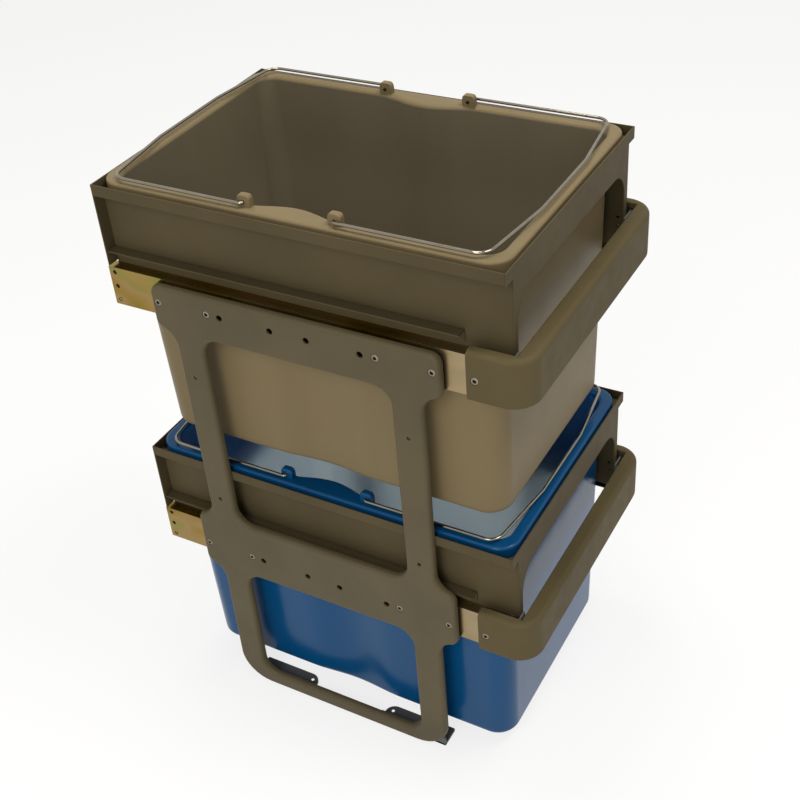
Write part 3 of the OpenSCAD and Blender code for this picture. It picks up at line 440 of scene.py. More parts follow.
def bin_plastic(name, colour, rough, gloss, painted_light_below=None, through=0.0):
    """Polished polypropylene: faint flow streaks down the walls and a soft wavy gloss.

    The paler lower part is (low height, high height, colour): painted light, brighter
    below the collar's shade. through is how much light passes the wall."""
    f = Finish(name, specular_ior_level=gloss, subsurface_weight=through,
               subsurface_radius=(1, 1, 1), subsurface_scale=0.02)
    low, high = shades(colour, 0.93, 1.06)
    flow = f.ramp(f.noise(4.0, stretch=(3.0, 3.0, 0.7)), [(0.3, low), (0.7, high)])
    # Painted light: the wall is paler below the collar, whose shade falls on the part above
    if painted_light_below:
        low_z, high_z, painted_light_colour = painted_light_below
        flow = f.mix(f.fade("Z", low_z, high_z, most=1.0), flow, painted_light_colour)
    speck = f.ramp(f.noise(900.0, 2.0), [(0.35, grey(0.95)), (0.65, grey(1))])
    f.drive("Base Color", f.mix(0.6, flow, speck, "MULTIPLY"))
    f.drive("Roughness", f.spread(f.noise(25.0, 4.0), *rough))
    f.bump(f.noise(14.0, 2.0, stretch=(1.0, 1.0, 0.4)), 0.1, 0.0015)
    return f.material


FRAME_COAT = satin_coat("frame_coat", (0.089, 0.071, 0.036), gloss=0.2)
COLLAR_COAT = satin_coat("collar_coat", (0.080, 0.063, 0.033), gloss=0.055,
                         rough=(0.46, 0.56), peel=0.2)
HANDLE_PLASTIC = satin_coat("handle_plastic", (0.094, 0.074, 0.036), gloss=0.06,
                            rough=(0.48, 0.6), peel=0.5)
FOOT_STEEL = satin_coat("foot_steel", (0.112, 0.113, 0.115), gloss=0.26,
                        rough=(0.45, 0.6), peel=0.25)
# Near-black finish for the hexagon sockets: painted shade in the recess
SOCKET_PAINTED_SHADE = satin_coat("socket_painted_shade", (0.016, 0.014, 0.012), gloss=0.15,
                         rough=(0.5, 0.7), peel=0.1)
ZINC = zinc_plate("yellow_zinc")
CAGE_STEEL = bright_metal("cage_steel", (0.32, 0.30, 0.27), rough=(0.3, 0.42), grain=70.0,
                          stretch=(1.0, 0.2, 1.0))
BALL_STEEL = bright_metal("ball_steel", (0.62, 0.61, 0.59), rough=(0.08, 0.14), grain=300.0)
SCREW_STEEL = bright_metal("screw_steel", (0.27, 0.235, 0.175), rough=(0.26, 0.4), grain=400.0)
CHROME_WIRE = bright_metal("chrome_wire", (0.25, 0.22, 0.17), rough=(0.07, 0.14), grain=120.0,
                           stretch=(1.0, 0.3, 1.0))
TAUPE_BIN = bin_plastic("taupe_bin", (0.176, 0.136, 0.072), rough=(0.3, 0.38), gloss=0.07)
# The taupe bin's inside is a greyer copy of its plastic whose lower part is paler, painted light
# below the upper collar's shade
TAUPE_INSIDE_PAINTED_LIGHT = bin_plastic("taupe_inside_painted_light", (0.142, 0.119, 0.078), rough=(0.3, 0.38), gloss=0.22,
                           painted_light_below=(0.38, 0.62, (0.24, 0.206, 0.138)))
BLUE_BIN = bin_plastic("blue_bin", (0.002, 0.058, 0.168), rough=(0.15, 0.22), gloss=0.19)
# The blue bin's inside is a much brighter copy of its plastic, painted light for light coming
# through the wall, and paler still below the lower collar's edge, painted light where the collar's
# shade ends
LOWER_COLLAR_Z = (SLIDE_LINES["lower"] + WALL_LOW) / 1000
BLUE_PAINTED_LIGHT_BELOW_COLLAR = (LOWER_COLLAR_Z - 0.02, LOWER_COLLAR_Z + 0.05, (0.34, 0.49, 0.60))
BLUE_INSIDE_PAINTED_LIGHT = bin_plastic("blue_inside_painted_light", (0.014, 0.170, 0.640), rough=(0.2, 0.28), gloss=0.2,
                          painted_light_below=BLUE_PAINTED_LIGHT_BELOW_COLLAR, through=0.9)

# Side frames: outline corners are (y, z, radius)

REAR_OUTLINE = [
    (LEG_OUT, 0.0, FOOT_CORNER_R),
    (LEG_OUT, MIDDLE_BEAM[0] - EAR_HALF_SLOPE, EAR_FILLET_R),
    (EAR_Y, MIDDLE_BEAM[0] + EAR_HALF_SLOPE, EAR_R),
    (EAR_Y, MIDDLE_BEAM[1] - EAR_HALF_SLOPE, EAR_R),
    (LEG_OUT, MIDDLE_BEAM[1] + EAR_HALF_SLOPE, EAR_FILLET_R),
    (LEG_OUT, UPPER_BEAM[0] - EAR_HALF_SLOPE, EAR_FILLET_R),
    (EAR_Y, UPPER_BEAM[0] + EAR_HALF_SLOPE, EAR_R),
    (EAR_Y, UPPER_BEAM[1], EAR_R),
]
FRAME_OUTLINE = REAR_OUTLINE + [(-y, z, r) for y, z, r in reversed(REAR_OUTLINE)]
WINDOWS = [(MIDDLE_BEAM[1], UPPER_BEAM[0]), (SILL_H, MIDDLE_BEAM[0])]
RAIL_SCREWS = [(y, z) for z in SLIDE_LINES.values() for y in SCREW_ROWS]


def frame_blank(bm):
    """Fills the outline and windows on the frame's back, looking out, and returns the faces."""
    def on_back(y, z):
        return BACK_X, y, z

    rounded_outline(bm, FRAME_OUTLINE, on_back, CORNER_STEPS)
    for low, high in WINDOWS:
        corners = [(LEG_IN, low), (LEG_IN, high), (-LEG_IN, high), (-LEG_IN, low)]
        rounded_outline(bm, [(y, z, WINDOW_R) for y, z in corners], on_back, CORNER_STEPS)
    edges = list(bm.edges)
    open_up(bm, list(bm.faces))
    flat = fill(bm, edges, ALONG_X)
    bmesh.ops.recalc_face_normals(bm, faces=bm.faces)
    bm.normal_update()
    if flat[0].normal.x < 0:
        bmesh.ops.reverse_faces(bm, faces=bm.faces)
        bm.normal_update()
    return flat


def press_out(bm, flat):
    """Raises the blank to the frame's face over a straight rise and a rounded edge."""
    rises = [(0.0, FRAME_X - BACK_X - EDGE_DROP)]
    for i in range(EDGE_STEPS):
        a, b = math.radians(90 * i / EDGE_STEPS), math.radians(90 * (i + 1) / EDGE_STEPS)
        rises.append((EDGE_IN * (math.cos(a) - math.cos(b)),
                      EDGE_DROP * (math.sin(b) - math.sin(a))))
    for inward, rise in rises:
        bmesh.ops.inset_region(bm, faces=flat, use_boundary=True, use_even_offset=True,
                               thickness=inward, depth=rise)
        bm.normal_update()


def punch(bm, flat):
    """Makes the frame's face again with its holes, whose lips turn in."""
    inside = set(flat)
    border = [e for e in bm.edges if len([f for f in e.link_faces if f in inside]) == 1]
    bmesh.ops.delete(bm, geom=flat, context="FACES")
    holes = [(y, z, HEAD_R + FIT) for y, z in RAIL_SCREWS]
    holes += [(y, z, SPARE_R) for z in SLIDE_LINES.values() for y in SPARE_ROWS]
    holes += [(s * LEG_MIDDLE, z, LEG_HOLE_R) for z in LEG_HOLES for s in (-1, 1)]
    rims = []
    for y, z, r in holes:
        centre = Vector((FRAME_X, y, z))
        rims.append((ring(bm, centre, ALONG_X, r + HOLE_LIP), centre, r / (r + HOLE_LIP)))
    fill(bm, border + [e for rim, _, _ in rims for e in rim], ALONG_X)
    for rim, centre, ratio in rims:
        rim = sink(bm, rim, centre, ratio, (-HOLE_LIP, 0, 0))
        run(bm, rim, (-FRAME_SHEET, 0, 0))


def side_frame():
    """Pressed sheet with rounded edges, two windows, punched holes and screw bosses."""
    bm = bmesh.new()
    flat = frame_blank(bm)
    press_out(bm, flat)
    punch(bm, flat)
    face_sheet(bm, ALONG_X)
    thicken(bm, FRAME_SHEET)
    seat, front = FRAME_X - HEAD_SINK, FRAME_X - BOSS_INSET
    cup, bore = HEAD_R + FIT, SHANK_R + FIT
    boss = [(cup, front), (cup, seat), (bore, seat), (bore, RAIL_X), (BOSS_R - BOSS_EASE, RAIL_X),
            (BOSS_R, RAIL_X + BOSS_EASE), (BOSS_R, front)]
    for y, z in RAIL_SCREWS:
        bush(bm, boss, (0, y, z))
    sill_boss = [(SILL_BORE_R, front), (SILL_BORE_R, BACK_X), (SILL_BOSS_R, BACK_X),
                 (SILL_BOSS_R, front)]
    for s in (-1, 1):
        for y in FOOT_SCREWS:
            bush(bm, sill_boss, (0, s * y, SILL_H / 2))
    return bm


def hex_screw(bm, centre, axis, sizes, shank):
    """Adds a button head screw with a hexagon socket; centre is under the head."""
    head_r, shank_r, socket_r = sizes
    part = spun([(socket_r + SOCKET_LAND, HEAD_H), (head_r - 2 * HEAD_EASE, HEAD_H),
                 (head_r - 0.6 * HEAD_EASE, HEAD_H - 0.3 * HEAD_EASE),
                 (head_r, HEAD_H - HEAD_EASE), (head_r, 0), (shank_r, 0), (shank_r, -shank),
                 (0, -shank)], closed=False)
    mouth = [e for e in part.edges if e.is_boundary]
    corners = bmesh.ops.create_circle(part, cap_ends=False, radius=socket_r, segments=6,
                                      matrix=Matrix.Translation((0, 0, HEAD_H - SOCKET_STEP)))
    hexagon = list({e for v in corners["verts"] for e in v.link_edges})
    bmesh.ops.subdivide_edges(part, edges=hexagon, cuts=ROUND_STEPS // 6 - 1)
    hexagon = [e for e in part.edges if not e.link_faces]
    bmesh.ops.bridge_loops(part, edges=mouth + hexagon)
    floor = run(part, hexagon, (0, 0, -HEAD_H * SOCKET_DEPTH))
    bmesh.ops.edgeloop_fill(part, edges=floor)
    bmesh.ops.recalc_face_normals(part, faces=part.faces)

    def in_socket(co):
        return co.z > 0 and math.hypot(co.x, co.y) < socket_r + NEAR

    # The socket's faces take the second finish, which is painted shade
    for f in part.faces:
        f.material_index = int(all(in_socket(v.co) for v in f.verts))
    join(bm, part, upright_on(centre, axis))


def rail_screws():
    bm = bmesh.new()
    shank = UNDER_HEAD - RAIL_X + RAIL_SCREW_PAST
    for y, z in RAIL_SCREWS:
        hex_screw(bm, (UNDER_HEAD, y, z), ALONG_X, LARGE_SCREW, shank)
    return bm


def foot(far_end):
    """Angle foot with a rounded near end and a countersunk floor screw hole."""
    bm = bmesh.new()
    x0, x1 = FOOT_X
    y0, y1 = FOOT_NEAR, far_end
    end_r = (x1 - x0) / 2 - FOOT_TIP_FLAT
    rounded_outline(bm, [(x0, y0, end_r), (x1, y0, end_r), (x1, y1, 0), (x0, y1, FOOT_FAR_R)],
                    lambda x, y: (x, y, FOOT_T), CORNER_STEPS)
    edges = list(bm.edges)
    open_up(bm, list(bm.faces))
    centre = Vector((*FLOOR_HOLE, FOOT_T))
    hole = ring(bm, centre, ALONG_Z, FLOOR_HOLE_R)
    fill(bm, edges + hole, ALONG_Z)
    sink(bm, hole, centre, FLOOR_HOLE_NECK_R / FLOOR_HOLE_R,
         (0, 0, FLOOR_HOLE_NECK_R - FLOOR_HOLE_R))
    face_sheet(bm, ALONG_Z)
    thicken(bm, FOOT_T)
    upstand = bmesh.new()
    rounded_outline(upstand, [(y0, 0, 0), (y1, 0, 0), (y1, FOOT_H, UPSTAND_R),
                              (y0, FOOT_H, UPSTAND_R / 2)], lambda y, z: (x1, y, z), 6)
    push(upstand, upstand.faces[:], (-FOOT_T, 0, 0))
    bmesh.ops.recalc_face_normals(upstand, faces=upstand.faces)
    ease(upstand, [e for e in upstand.edges if is_sharp(e)], FOOT_EASE, 2)
    join(bm, upstand)
    return bm


def foot_screws():
    bm = bmesh.new()
    under_head = BACK_X - FOOT_T
    for side in (-1, 1):
        for s in (-1, 1):
            for y in FOOT_SCREWS:
                hex_screw(bm, (side * under_head, s * y, SILL_H / 2), (-side, 0, 0), SMALL_SCREW,
                          FOOT_SHANK)
    return bm


# Collars

def collar_side():
    """One long side: the wall, the shelf folded out from it and the band folded up."""
    bm = bmesh.new()
    y0, y1 = COLLAR_FRONT + COLLAR_SHEET, COLLAR_REAR - COLLAR_SHEET
    top = SHELF_LOW - SHELF_BEND_R
    wall = polygon(bm, [(WALL_X, y0, WALL_LOW), (WALL_X, y1, WALL_LOW), (WALL_X, y1, top),
                        (WALL_X, y0, top)])
    border = list(wall.edges)
    open_up(bm, [wall])
    rims = [ring(bm, Vector((WALL_X, COLLAR_FRONT + WALL_HOLE_IN, z)), ALONG_X, WALL_HOLE_R)
            for z in WALL_HOLE_Z]
    fill(bm, border + [e for rim in rims for e in rim], ALONG_X)
    row = edges_where(bm, lambda co: abs(co.z - top) < NEAR)
    row = fold(bm, row, (WALL_X + SHELF_BEND_R, 0, top), ALONG_Y, 90)
    row = run(bm, row, (BAND_X - BAND_BEND_R - WALL_X - SHELF_BEND_R, 0, 0))
    row = fold(bm, row, (BAND_X - BAND_BEND_R, 0, SHELF_LOW + BAND_BEND_R), ALONG_Y, -90)
    run(bm, row, (0, 0, COLLAR_TOP - SHELF_LOW - BAND_BEND_R))
    face_sheet(bm, ALONG_X)
    thicken(bm, COLLAR_SHEET)
    top_edges = edges_where(bm, lambda co: co.z > COLLAR_TOP - NEAR)
    lengthwise = [e for e in top_edges
                  if abs(e.verts[0].co.y - e.verts[1].co.y) > 2 * COLLAR_SHEET]
    ease(bm, lengthwise, BAND_EASE, 2)
    return bm


def end_wall(points, rounded, y0, y1):
    """A flat end wall cut from sheet, with eased edges."""
    bm = bmesh.new()
    face = polygon(bm, [(x, y0, z) for x, z in points])
    for vert in [v for v in face.verts if (round(v.co.x, 3), round(v.co.z, 3)) in rounded]:
        round_corner(bm, vert, ARCH_R, 12)
    push(bm, bm.faces[:], (0, y1 - y0, 0))
    bmesh.ops.recalc_face_normals(bm, faces=bm.faces)
    ease(bm, [e for e in bm.edges if is_sharp(e)], WALL_EASE, 2)
    return bm


def collar():
    """Four folded walls: the front one has an arch and the rear one a low band."""
    bm = bmesh.new()
    join(bm, collar_side())
    join(bm, mirrored(collar_side()))
    arch = [(-ARCH_HALF, ARCH_TOP), (ARCH_HALF, ARCH_TOP)]
    front = [(-BAND_X, COLLAR_TOP), (-BAND_X, SHELF_LOW), (-WALL_X, SHELF_LOW),
             (-WALL_X, WALL_LOW), (-ARCH_HALF, WALL_LOW), *arch, (ARCH_HALF, WALL_LOW),
             (WALL_X, WALL_LOW), (WALL_X, SHELF_LOW), (BAND_X, SHELF_LOW), (BAND_X, COLLAR_TOP)]
    join(bm, end_wall(front, arch, COLLAR_FRONT, COLLAR_FRONT + COLLAR_SHEET))
    rear = [(-BAND_X, COLLAR_TOP), (-BAND_X, REAR_STEP), (-WALL_X, REAR_STEP),
            (-WALL_X, WALL_LOW), (WALL_X, WALL_LOW), (WALL_X, REAR_STEP), (BAND_X, REAR_STEP),
            (BAND_X, COLLAR_TOP)]
    join(bm, end_wall(rear, [], COLLAR_REAR - COLLAR_SHEET, COLLAR_REAR))
    return bm


def cover():
    """Angle over the slide, folded from sheet."""
    bm = bmesh.new()
    y0, y1 = COVER_FRONT, COLLAR_REAR - COLLAR_SHEET
    bend_x = WALL_X + COVER_BEND_R
    polygon(bm, [(RAIL_X, y0, COVER_TOP), (RAIL_X, y1, COVER_TOP), (bend_x, y1, COVER_TOP),
                 (bend_x, y0, COVER_TOP)])
    row = edges_where(bm, lambda co: co.x < RAIL_X - NEAR)
    row = fold(bm, row, (bend_x, 0, COVER_TOP - COVER_BEND_R), ALONG_Y, -90)
    run(bm, row, (0, 0, COVER_BEND_R - COVER_LIP))
    face_sheet(bm, ALONG_Z)
    thicken(bm, COVER_SHEET)
    return bm


# Handles

def handle_block():
    """The handle's U raised to its top, stepping in to the lip over the slides."""
    bm = bmesh.new()
    plan = [(-FRAME_X, ARM_REAR), (-FRAME_X, BAR_FRONT), (FRAME_X, BAR_FRONT),
            (FRAME_X, ARM_REAR), (ARM_IN, ARM_REAR), (ARM_IN, BAR_BACK), (-ARM_IN, BAR_BACK),
            (-ARM_IN, ARM_REAR)]
    base = polygon(bm, [(x, y, HANDLE_LOW) for x, y in plan])
    for vert in [v for v in base.verts if v.co.y < BAR_FRONT + NEAR]:
        round_corner(bm, vert, HANDLE_R, 10)
    top, z = bm.faces[:], HANDLE_LOW
    for level in (LIP_Z - LIP_SLOPE, LIP_Z, HANDLE_TOP):
        below, top = top, push(bm, top, (0, 0, level - z))
        if z > HANDLE_LOW:
            open_up(bm, below)
        if level == LIP_Z:
            for v in {v for f in top for v in f.verts}:
                if abs(abs(v.co.x) - ARM_IN) < NEAR and v.co.y > BAR_BACK - NEAR:
                    v.co.x = math.copysign(LIP_X, v.co.x)
        z = level
    bmesh.ops.recalc_face_normals(bm, faces=bm.faces)
    return bm


def ease_handle(bm):
    def outer(co):
        back = abs(co.x) < ARM_IN + NEAR and co.y > BAR_BACK - NEAR
        return abs(co.x) > FRAME_X - NEAR or (co.y < BAR_FRONT + HANDLE_R and not back)

    def on_top(co):
        return co.z > HANDLE_TOP - NEAR

    def on_lip(co):
        return on_top(co) and abs(abs(co.x) - LIP_X) < NEAR and co.y > BAR_BACK - NEAR

    def sharp_edges(test):
        return [e for e in edges_where(bm, test) if is_sharp(e)]

    ease(bm, sharp_edges(lambda co: on_top(co) and outer(co)), HANDLE_TOP_EASE, 6)
    ease(bm, sharp_edges(lambda co: co.z < HANDLE_LOW + NEAR and outer(co)), HANDLE_LOW_EASE, 4)
    ease(bm, sharp_edges(on_lip), LIP_EASE, 3)


def hollow_bar(bm):
    """Hollows the handle's front bar from below, between its rounded ends."""
    hollow_x = FRAME_X - HANDLE_R
    for x in (-hollow_x, hollow_x):
        bmesh.ops.bisect_plane(bm, geom=bm.verts[:] + bm.edges[:] + bm.faces[:], dist=0.001,
                               plane_co=(x, 0, 0), plane_no=ALONG_X)
    under = [f for f in bm.faces if f.normal.z < -0.9 and abs(f.calc_center_median().x) < 1
             and f.calc_center_median().z < HANDLE_LOW + 0.1]
    bmesh.ops.inset_region(bm, faces=under, use_boundary=True, use_even_offset=True,
                           thickness=HANDLE_WALL)
    push(bm, under, (0, 0, HANDLE_TOP - HANDLE_WALL - HANDLE_LOW))
    open_up(bm, [f for f in under if f.is_valid])


def sink_arm_screw(bm, side):
    """Sinks the cup for the screw's head into one arm's outer face."""
    outer = [f for f in bm.faces if f.normal.x * side > 0.99
             and abs(f.calc_center_median().x) > FRAME_X - 0.1]
    face = max(outer, key=lambda f: f.calc_area())
    border = list(face.edges)
    open_up(bm, [face])
    centre = Vector((side * FRAME_X, ARM_SCREW_Y, ARM_SCREW_Z))
    cup = HEAD_R + FIT
    rim = ring(bm, centre, ALONG_X, cup + HOLE_LIP)
    fill(bm, border + rim, (side, 0, 0))
    rim = sink(bm, rim, centre, cup / (cup + HOLE_LIP), (-side * HOLE_LIP, 0, 0))
    rim = run(bm, rim, (side * (HOLE_LIP - HEAD_SINK), 0, 0))
    bmesh.ops.edgeloop_fill(bm, edges=rim)


def handle():
    """Rounded U moulding with a lip over the slides and a hollow bar."""
    bm = handle_block()
    ease_handle(bm)
    hollow_bar(bm)
    for side in (-1, 1):
        sink_arm_screw(bm, side)
    bmesh.ops.recalc_face_normals(bm, faces=bm.faces)
    return bm


def bracket():
    """Steel angle that joins the handle's arm to the collar's front leg."""
    bm = bmesh.new()
    front, bend_x = COLLAR_FRONT - BRACKET_T, ARM_IN - BRACKET_BEND_R
    polygon(bm, [(ARCH_HALF, front, BRACKET_LOW), (bend_x, front, BRACKET_LOW),
                 (bend_x, front, BRACKET_TOP), (ARCH_HALF, front, BRACKET_TOP)])
    row = edges_where(bm, lambda co: co.x > bend_x - NEAR)
    row = fold(bm, row, (bend_x, front + BRACKET_BEND_R, 0), ALONG_Z, 90)
    run(bm, row, (0, BRACKET_REAR - front - BRACKET_BEND_R, 0))
    face_sheet(bm, ALONG_X)
    thicken(bm, BRACKET_T)
    return bm


def handle_screws():
    bm = bmesh.new()
    front = COLLAR_FRONT - BRACKET_T
    for side in (-1, 1):
        hex_screw(bm, (side * UNDER_HEAD, ARM_SCREW_Y, ARM_SCREW_Z), (side, 0, 0), LARGE_SCREW,
                  UNDER_HEAD - BRACKET_X)
        for z in LEG_SCREW_Z:
            hex_screw(bm, (side * LEG_SCREW_X, front, z), (0, -1, 0), SMALL_SCREW,
                      BRACKET_T + COLLAR_SHEET)
    return bm


# Bins

def bin_outline(bm, half, radius, z):
    """The edges of a rounded rectangle whose long sides are cut into short runs."""
    hx, hy = half
    corners = [(-hx, -hy, radius), (hx, -hy, radius), (hx, hy, radius), (-hx, hy, radius)]
    before = set(bm.edges)
    face = rounded_outline(bm, corners, lambda x, y: (x, DRAWER_Y + y, z), BIN_CORNER_STEPS)
    open_up(bm, [face])
    made = [e for e in bm.edges if e not in before]
    sides = [e for e in made if abs(e.verts[0].co.y - e.verts[1].co.y) > hy]
    bmesh.ops.subdivide_edges(bm, edges=sides, cuts=BIN_SIDE_CUTS)
    return [e for e in bm.edges if e not in before]


def hollow_walls(bm, floor_z):
    """Draws the long walls in between the pivot lugs."""
    for v in bm.verts:
        y = v.co.y - DRAWER_Y
        if abs(y) < HOLLOW_HALF and abs(v.co.x) > 1:
            share = (v.co.z - floor_z) / (RIM_TOP - floor_z)
            depth = HOLLOW_LOW + (HOLLOW_TOP - HOLLOW_LOW) * share
            bow = (1 + math.cos(math.pi * y / HOLLOW_HALF)) / 2
            v.co.x -= math.copysign(depth * bow, v.co.x)


def lug():
    """Square-shouldered pivot tab with a bore, standing on the rim."""
    bm = bmesh.new()
    x0, x1 = LUG_X
    base, top = RIM_TOP - BIN_WALL / 2, PIVOT_Z + LUG_R
    tab = rounded_outline(bm, [(-LUG_R, base, 0), (-LUG_R, top, LUG_SHOULDER_R),
                               (LUG_R, top, LUG_SHOULDER_R), (LUG_R, base, 0)],
                          lambda y, z: (x0, y, z), 5)
    border = list(tab.edges)
    open_up(bm, [tab])
    bore = ring(bm, Vector((x0, 0, PIVOT_Z)), ALONG_X, WIRE_R + BORE_FIT)
    push(bm, fill(bm, border + bore, ALONG_X), (x1 - x0, 0, 0))
    bmesh.ops.recalc_face_normals(bm, faces=bm.faces)

    def outside(co):
        return math.hypot(co.y, co.z - PIVOT_Z) > WIRE_R + 1 and co.z > base + NEAR

    ease(bm, [e for e in edges_where(bm, outside) if is_sharp(e)], LUG_EASE, 3)
    return bm


def looks_inside(face):
    """True for a face of the bin's inside below its mouth; these faces take the inside finish with
    its painted light.
    """
    c = face.calc_center_median()
    inwards = Vector((-c.x, DRAWER_Y - c.y, 0)).normalized()
    on_wall = face.normal.dot(inwards) > FACING
    on_floor = face.normal.z > FACING and c.z < 0
    within = c.z < RIM_TOP - INSIDE_BELOW and abs(c.x) < RIM_HALF[0] - INSIDE_FROM_RIM
    return within and (on_wall or on_floor)


def bin_form(low):
    """Moulded bin: floor, leaning walls hollowed between the lugs, rolled rim and lugs."""
    bm = bmesh.new()
    floor_z = low + BIN_WALL
    floor = bin_outline(bm, [h - BIN_WALL for h in BIN_FLOOR_HALF], BIN_LOW_R - BIN_WALL, floor_z)
    mouth = bin_outline(bm, [h - BIN_WALL for h in BIN_TOP_HALF], BIN_TOP_R - BIN_WALL, RIM_TOP)
    hollow_walls(bm, floor_z)
    rim = bin_outline(bm, RIM_HALF, RIM_R, RIM_TOP)
    bmesh.ops.bridge_loops(bm, edges=floor + mouth)
    bmesh.ops.bridge_loops(bm, edges=mouth + rim)
    bmesh.ops.edgeloop_fill(bm, edges=floor)
    run(bm, rim, (0, 0, SKIRT_LOW - RIM_TOP))
    face_sheet(bm, ALONG_Z)
    ease(bm, floor, BIN_FLOOR_R - BIN_WALL, 5)
    ease(bm, mouth, MOUTH_R, 5)
    ease(bm, rim, RIM_EDGE_R, 4)
    thicken(bm, BIN_WALL)
    bm.normal_update()
    for f in bm.faces:
        f.material_index = int(looks_inside(f))
    for s in (-1, 1):
        place = Matrix.Translation((0, DRAWER_Y + s * PIVOT_Y, 0))
        join(bm, lug(), place)
        join(bm, mirrored(lug()), place)
    return bm


# Bails

def bail_route(pin_x):
    """The runs (length, 0) and bends (radius, degrees) from the pin to the middle of the bail."""
    bend_x = LUG_X[1] + PIN_OUT
    slant = math.radians(BAIL_SLANT)
    across = (bend_x + BAIL_BEND_R - BAIL_R * (1 - math.sin(slant))
              - GRIP_BEND_R * math.sin(slant) - GRIP_HALF)
    slant_run = across / math.cos(slant)
    slant_y = (BAIL_R * math.cos(slant) + slant_run * math.sin(slant)
               + GRIP_BEND_R * (1 - math.cos(slant)))
    return [(bend_x - pin_x, 0), (BAIL_BEND_R, -90),
            (BAIL_REACH - PIVOT_Y - BAIL_BEND_R - slant_y, 0), (BAIL_R, BAIL_SLANT - 90),
            (slant_run, 0), (GRIP_BEND_R, -BAIL_SLANT), (GRIP_HALF, 0)]


def bail():
    """Front bail: a wire drawn from its pin round to the middle, then mirrored."""
    bm = bmesh.new()
    at = Vector((LUG_X[0] - PIN_IN, DRAWER_Y - PIVOT_Y, PIVOT_Z))
    bmesh.ops.create_circle(bm, cap_ends=True, radius=WIRE_R, segments=WIRE_STEPS,
                            matrix=upright_on(at, ALONG_X))
    pin_end = bm.faces[:]
    tip, heading = pin_end, 0.0
    for size, angle in bail_route(at.x):
        ahead = Vector((math.cos(math.radians(heading)), math.sin(math.radians(heading)), 0))
        before = tip
        if angle:
            centre = at + math.copysign(size, angle) * Vector((-ahead.y, ahead.x, 0))
            made = bmesh.ops.spin(bm, geom=tip, cent=centre, axis=ALONG_Z,
                                  angle=math.radians(angle), use_merge=False, use_duplicate=False,
                                  steps=max(3, round(abs(angle) / BEND_STEP)))
            tip = only(made["geom_last"], bmesh.types.BMFace)
            at = centre + Matrix.Rotation(math.radians(angle), 3, "Z") @ (at - centre)
            heading += angle
        else:
            tip = push(bm, tip, ahead * size)
            at = at + ahead * size
        if before is not pin_end:
            open_up(bm, [f for f in before if f.is_valid])
    open_up(bm, tip)
    for v in bm.verts:
        if abs(v.co.x) < 5 * NEAR:
            v.co.x = 0
    bmesh.ops.mirror(bm, geom=bm.verts[:] + bm.edges[:] + bm.faces[:], merge_dist=NEAR, axis="X")
    bmesh.ops.remove_doubles(bm, verts=bm.verts, dist=NEAR)
    bmesh.ops.recalc_face_normals(bm, faces=bm.faces)
    return bm


# Pieces on their bodies

both_sides("{}_side_frame_sheet", side_frame, "frame", FRAME_COAT,
           "{}_side_frame")
both_sides("{}_frame_screws", rail_screws, "frame", SCREW_STEEL,
           "{}_rail_screws", SOCKET_PAINTED_SHADE)
both_sides("{}_rear_angle_foot", lambda: foot(REAR_FOOT_FAR), "frame", FOOT_STEEL,
           "{}_rear_foot")
both_sides("{}_front_angle_foot", lambda: front_to_rear(foot(FRONT_FOOT_FAR)), "frame",
           FOOT_STEEL, "{}_front_foot")
piece("foot_fixing_screws", foot_screws(), "frame", SCREW_STEEL, "foot_screws",
      SOCKET_PAINTED_SHADE)

BIN_FINISHES = {"upper": (TAUPE_BIN, TAUPE_INSIDE_PAINTED_LIGHT), "lower": (BLUE_BIN, BLUE_INSIDE_PAINTED_LIGHT)}
for tier, line in SLIDE_LINES.items():
    drawer = tier + "_drawer"
    plastic, inside = BIN_FINISHES[tier]
    piece(tier + "_sheet_collar", at_height(collar(), line), drawer, COLLAR_COAT,
          tier + "_collar")
    both_sides(tier + "_{}_slide_cover", lambda: at_height(cover(), line), drawer,
               COLLAR_COAT, tier + "_{}_cover")
    piece(tier + "_moulded_handle", at_height(handle(), line), drawer,
          HANDLE_PLASTIC, tier + "_handle")
    both_sides(tier + "_{}_angle", lambda: at_height(bracket(), line), drawer,
               FOOT_STEEL, tier + "_{}_bracket")
    piece(tier + "_handle_fixings", at_height(handle_screws(), line), drawer,
          SCREW_STEEL, tier + "_handle_screws", SOCKET_PAINTED_SHADE)
    piece(tier + "_moulded_bin", at_height(bin_form(BIN_LOWS[tier]), line), tier + "_bin",
          plastic, tier + "_bin", inside)
    piece(tier + "_front_wire_bail", at_height(bail(), line), tier + "_front_bail",
          CHROME_WIRE, tier + "_front_bail")
    piece(tier + "_rear_wire_bail", at_height(front_to_rear(bail(), DRAWER_Y), line),
          tier + "_rear_bail", CHROME_WIRE, tier + "_rear_bail")

# The slides and rivets keep their solids and get their finishes
SLIDE_FINISHES = {"rail": ZINC, "rivets": ZINC, "cage": CAGE_STEEL, "balls": BALL_STEEL}
for name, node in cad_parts.items():
    finish = SLIDE_FINISHES.get(name.split("_")[-1])
    if finish:
        for place in node.material_slots:
            place.material = finish

# Floor, light and camera, in metres, watts and degrees

FLOOR_REACH, FLOOR_COLOUR, FLOOR_GLOW = 12, (0.86, 0.86, 0.86, 1), 0.78
WORLD_COLOUR, WORLD_STRENGTH = (1, 0.985, 0.955, 1), 0.38
CAMERA_TURN = (-58.3331, 36.6541, -5.0114)
CAMERA_PLACE = (-0.98176, -0.62674, 1.22646)
CAMERA_LENS, CAMERA_SENSOR, CAMERA_CLIP = 57.48, 36, 60

scene = bpy.context.scene
scene.view_settings.view_transform = "Standard"


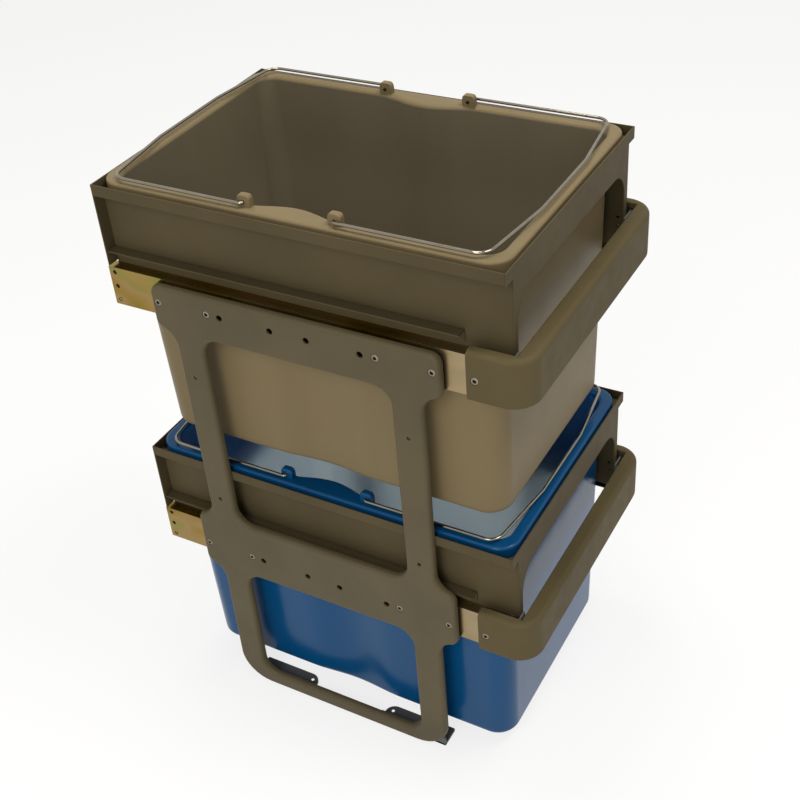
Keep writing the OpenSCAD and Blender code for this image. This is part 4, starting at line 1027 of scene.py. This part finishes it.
def seen_directly(nodes, links):
    """1 for rays from the camera, from gloss and through glass, and 0 for the others."""
    rays = nodes.new("ShaderNodeLightPath")
    seen = rays.outputs["Is Camera Ray"]
    for kind in ("Is Glossy Ray", "Is Transmission Ray"):
        most = nodes.new("ShaderNodeMath")
        most.operation = "MAXIMUM"
        links.new(seen, most.inputs[0])
        links.new(rays.outputs[kind], most.inputs[1])
        seen = most.outputs[0]
    return seen


def mix_shaders(nodes, links, share, plain, bright, output):
    mix = nodes.new("ShaderNodeMixShader")
    for source, socket in zip((share, plain.outputs[0], bright.outputs[0]), mix.inputs):
        links.new(source, socket)
    links.new(mix.outputs[0], nodes[output].inputs["Surface"])


def pale_floor():
    bm = bmesh.new()
    bmesh.ops.create_grid(bm, x_segments=1, y_segments=1, size=FLOOR_REACH)
    mesh = bpy.data.meshes.new("pale_floor")
    bm.to_mesh(mesh)
    bm.free()
    floor = bpy.data.objects.new("pale_floor", mesh)
    scene.collection.objects.link(floor)
    material = bpy.data.materials.new("pale_floor")
    material.use_nodes = True
    nodes, links = material.node_tree.nodes, material.node_tree.links
    nodes.remove(nodes["Principled BSDF"])
    plain = nodes.new("ShaderNodeBsdfDiffuse")
    plain.inputs["Color"].default_value = FLOOR_COLOUR
    glow = nodes.new("ShaderNodeEmission")
    share = nodes.new("ShaderNodeMath")
    share.operation = "MULTIPLY"
    share.inputs[1].default_value = FLOOR_GLOW
    links.new(seen_directly(nodes, links), share.inputs[0])
    mix_shaders(nodes, links, share.outputs[0], plain, glow, "Material Output")
    mesh.materials.append(material)


def soft_world():
    world = bpy.data.worlds.new("soft_world")
    scene.world = world
    world.use_nodes = True
    nodes, links = world.node_tree.nodes, world.node_tree.links
    back = nodes["Background"]
    back.inputs["Color"].default_value = WORLD_COLOUR
    back.inputs["Strength"].default_value = WORLD_STRENGTH
    white = nodes.new("ShaderNodeBackground")
    white.inputs["Color"].default_value = (1, 1, 1, 1)
    mix_shaders(nodes, links, seen_directly(nodes, links), back, white, "World Output")


def soft_lamp(name, place, aim, size, watts, colour):
    light = bpy.data.lights.new(name, "AREA")
    light.shape = "DISK"
    light.size = size
    light.energy = watts
    light.color = colour
    lamp = bpy.data.objects.new(name, light)
    lamp.location = place
    lamp.rotation_euler = (Vector(aim) - Vector(place)).to_track_quat("-Z", "Y").to_euler()
    scene.collection.objects.link(lamp)


def photo_camera():
    azimuth, elevation, roll = (math.radians(a) for a in CAMERA_TURN)
    back = Vector((math.sin(azimuth) * math.cos(elevation),
                   -math.cos(azimuth) * math.cos(elevation), math.sin(elevation)))
    right = (-back).cross(ALONG_Z).normalized()
    up = right.cross(-back)
    across = right * math.cos(roll) + up * math.sin(roll)
    upright = up * math.cos(roll) - right * math.sin(roll)
    data = bpy.data.cameras.new("photo_camera")
    data.lens = CAMERA_LENS
    data.sensor_width = CAMERA_SENSOR
    data.clip_end = CAMERA_CLIP
    camera = bpy.data.objects.new("photo_camera", data)
    turn = Matrix((across, upright, back)).transposed().to_4x4()
    camera.matrix_world = Matrix.Translation(CAMERA_PLACE) @ turn
    scene.collection.objects.link(camera)
    scene.camera = camera


pale_floor()
soft_world()
soft_lamp("key_lamp", place=(0.3, -1.3, 3.0), aim=(0, 0, 0.35), size=1.1, watts=42,
          colour=(1, 0.97, 0.9))
soft_lamp("side_lamp", place=(-2.3, -0.2, 2.3), aim=(0, 0, 0.35), size=1.4, watts=31,
          colour=(1, 0.97, 0.92))
soft_lamp("low_lamp", place=(-2.4, -0.7, 0.6), aim=(0, 0, 0.25), size=1.4, watts=11,
          colour=(1, 0.97, 0.92))
soft_lamp("top_lamp", place=(0.1, 0.3, 3.0), aim=(0, 0, 0.4), size=0.9, watts=30,
          colour=(1, 0.98, 0.94))
photo_camera()
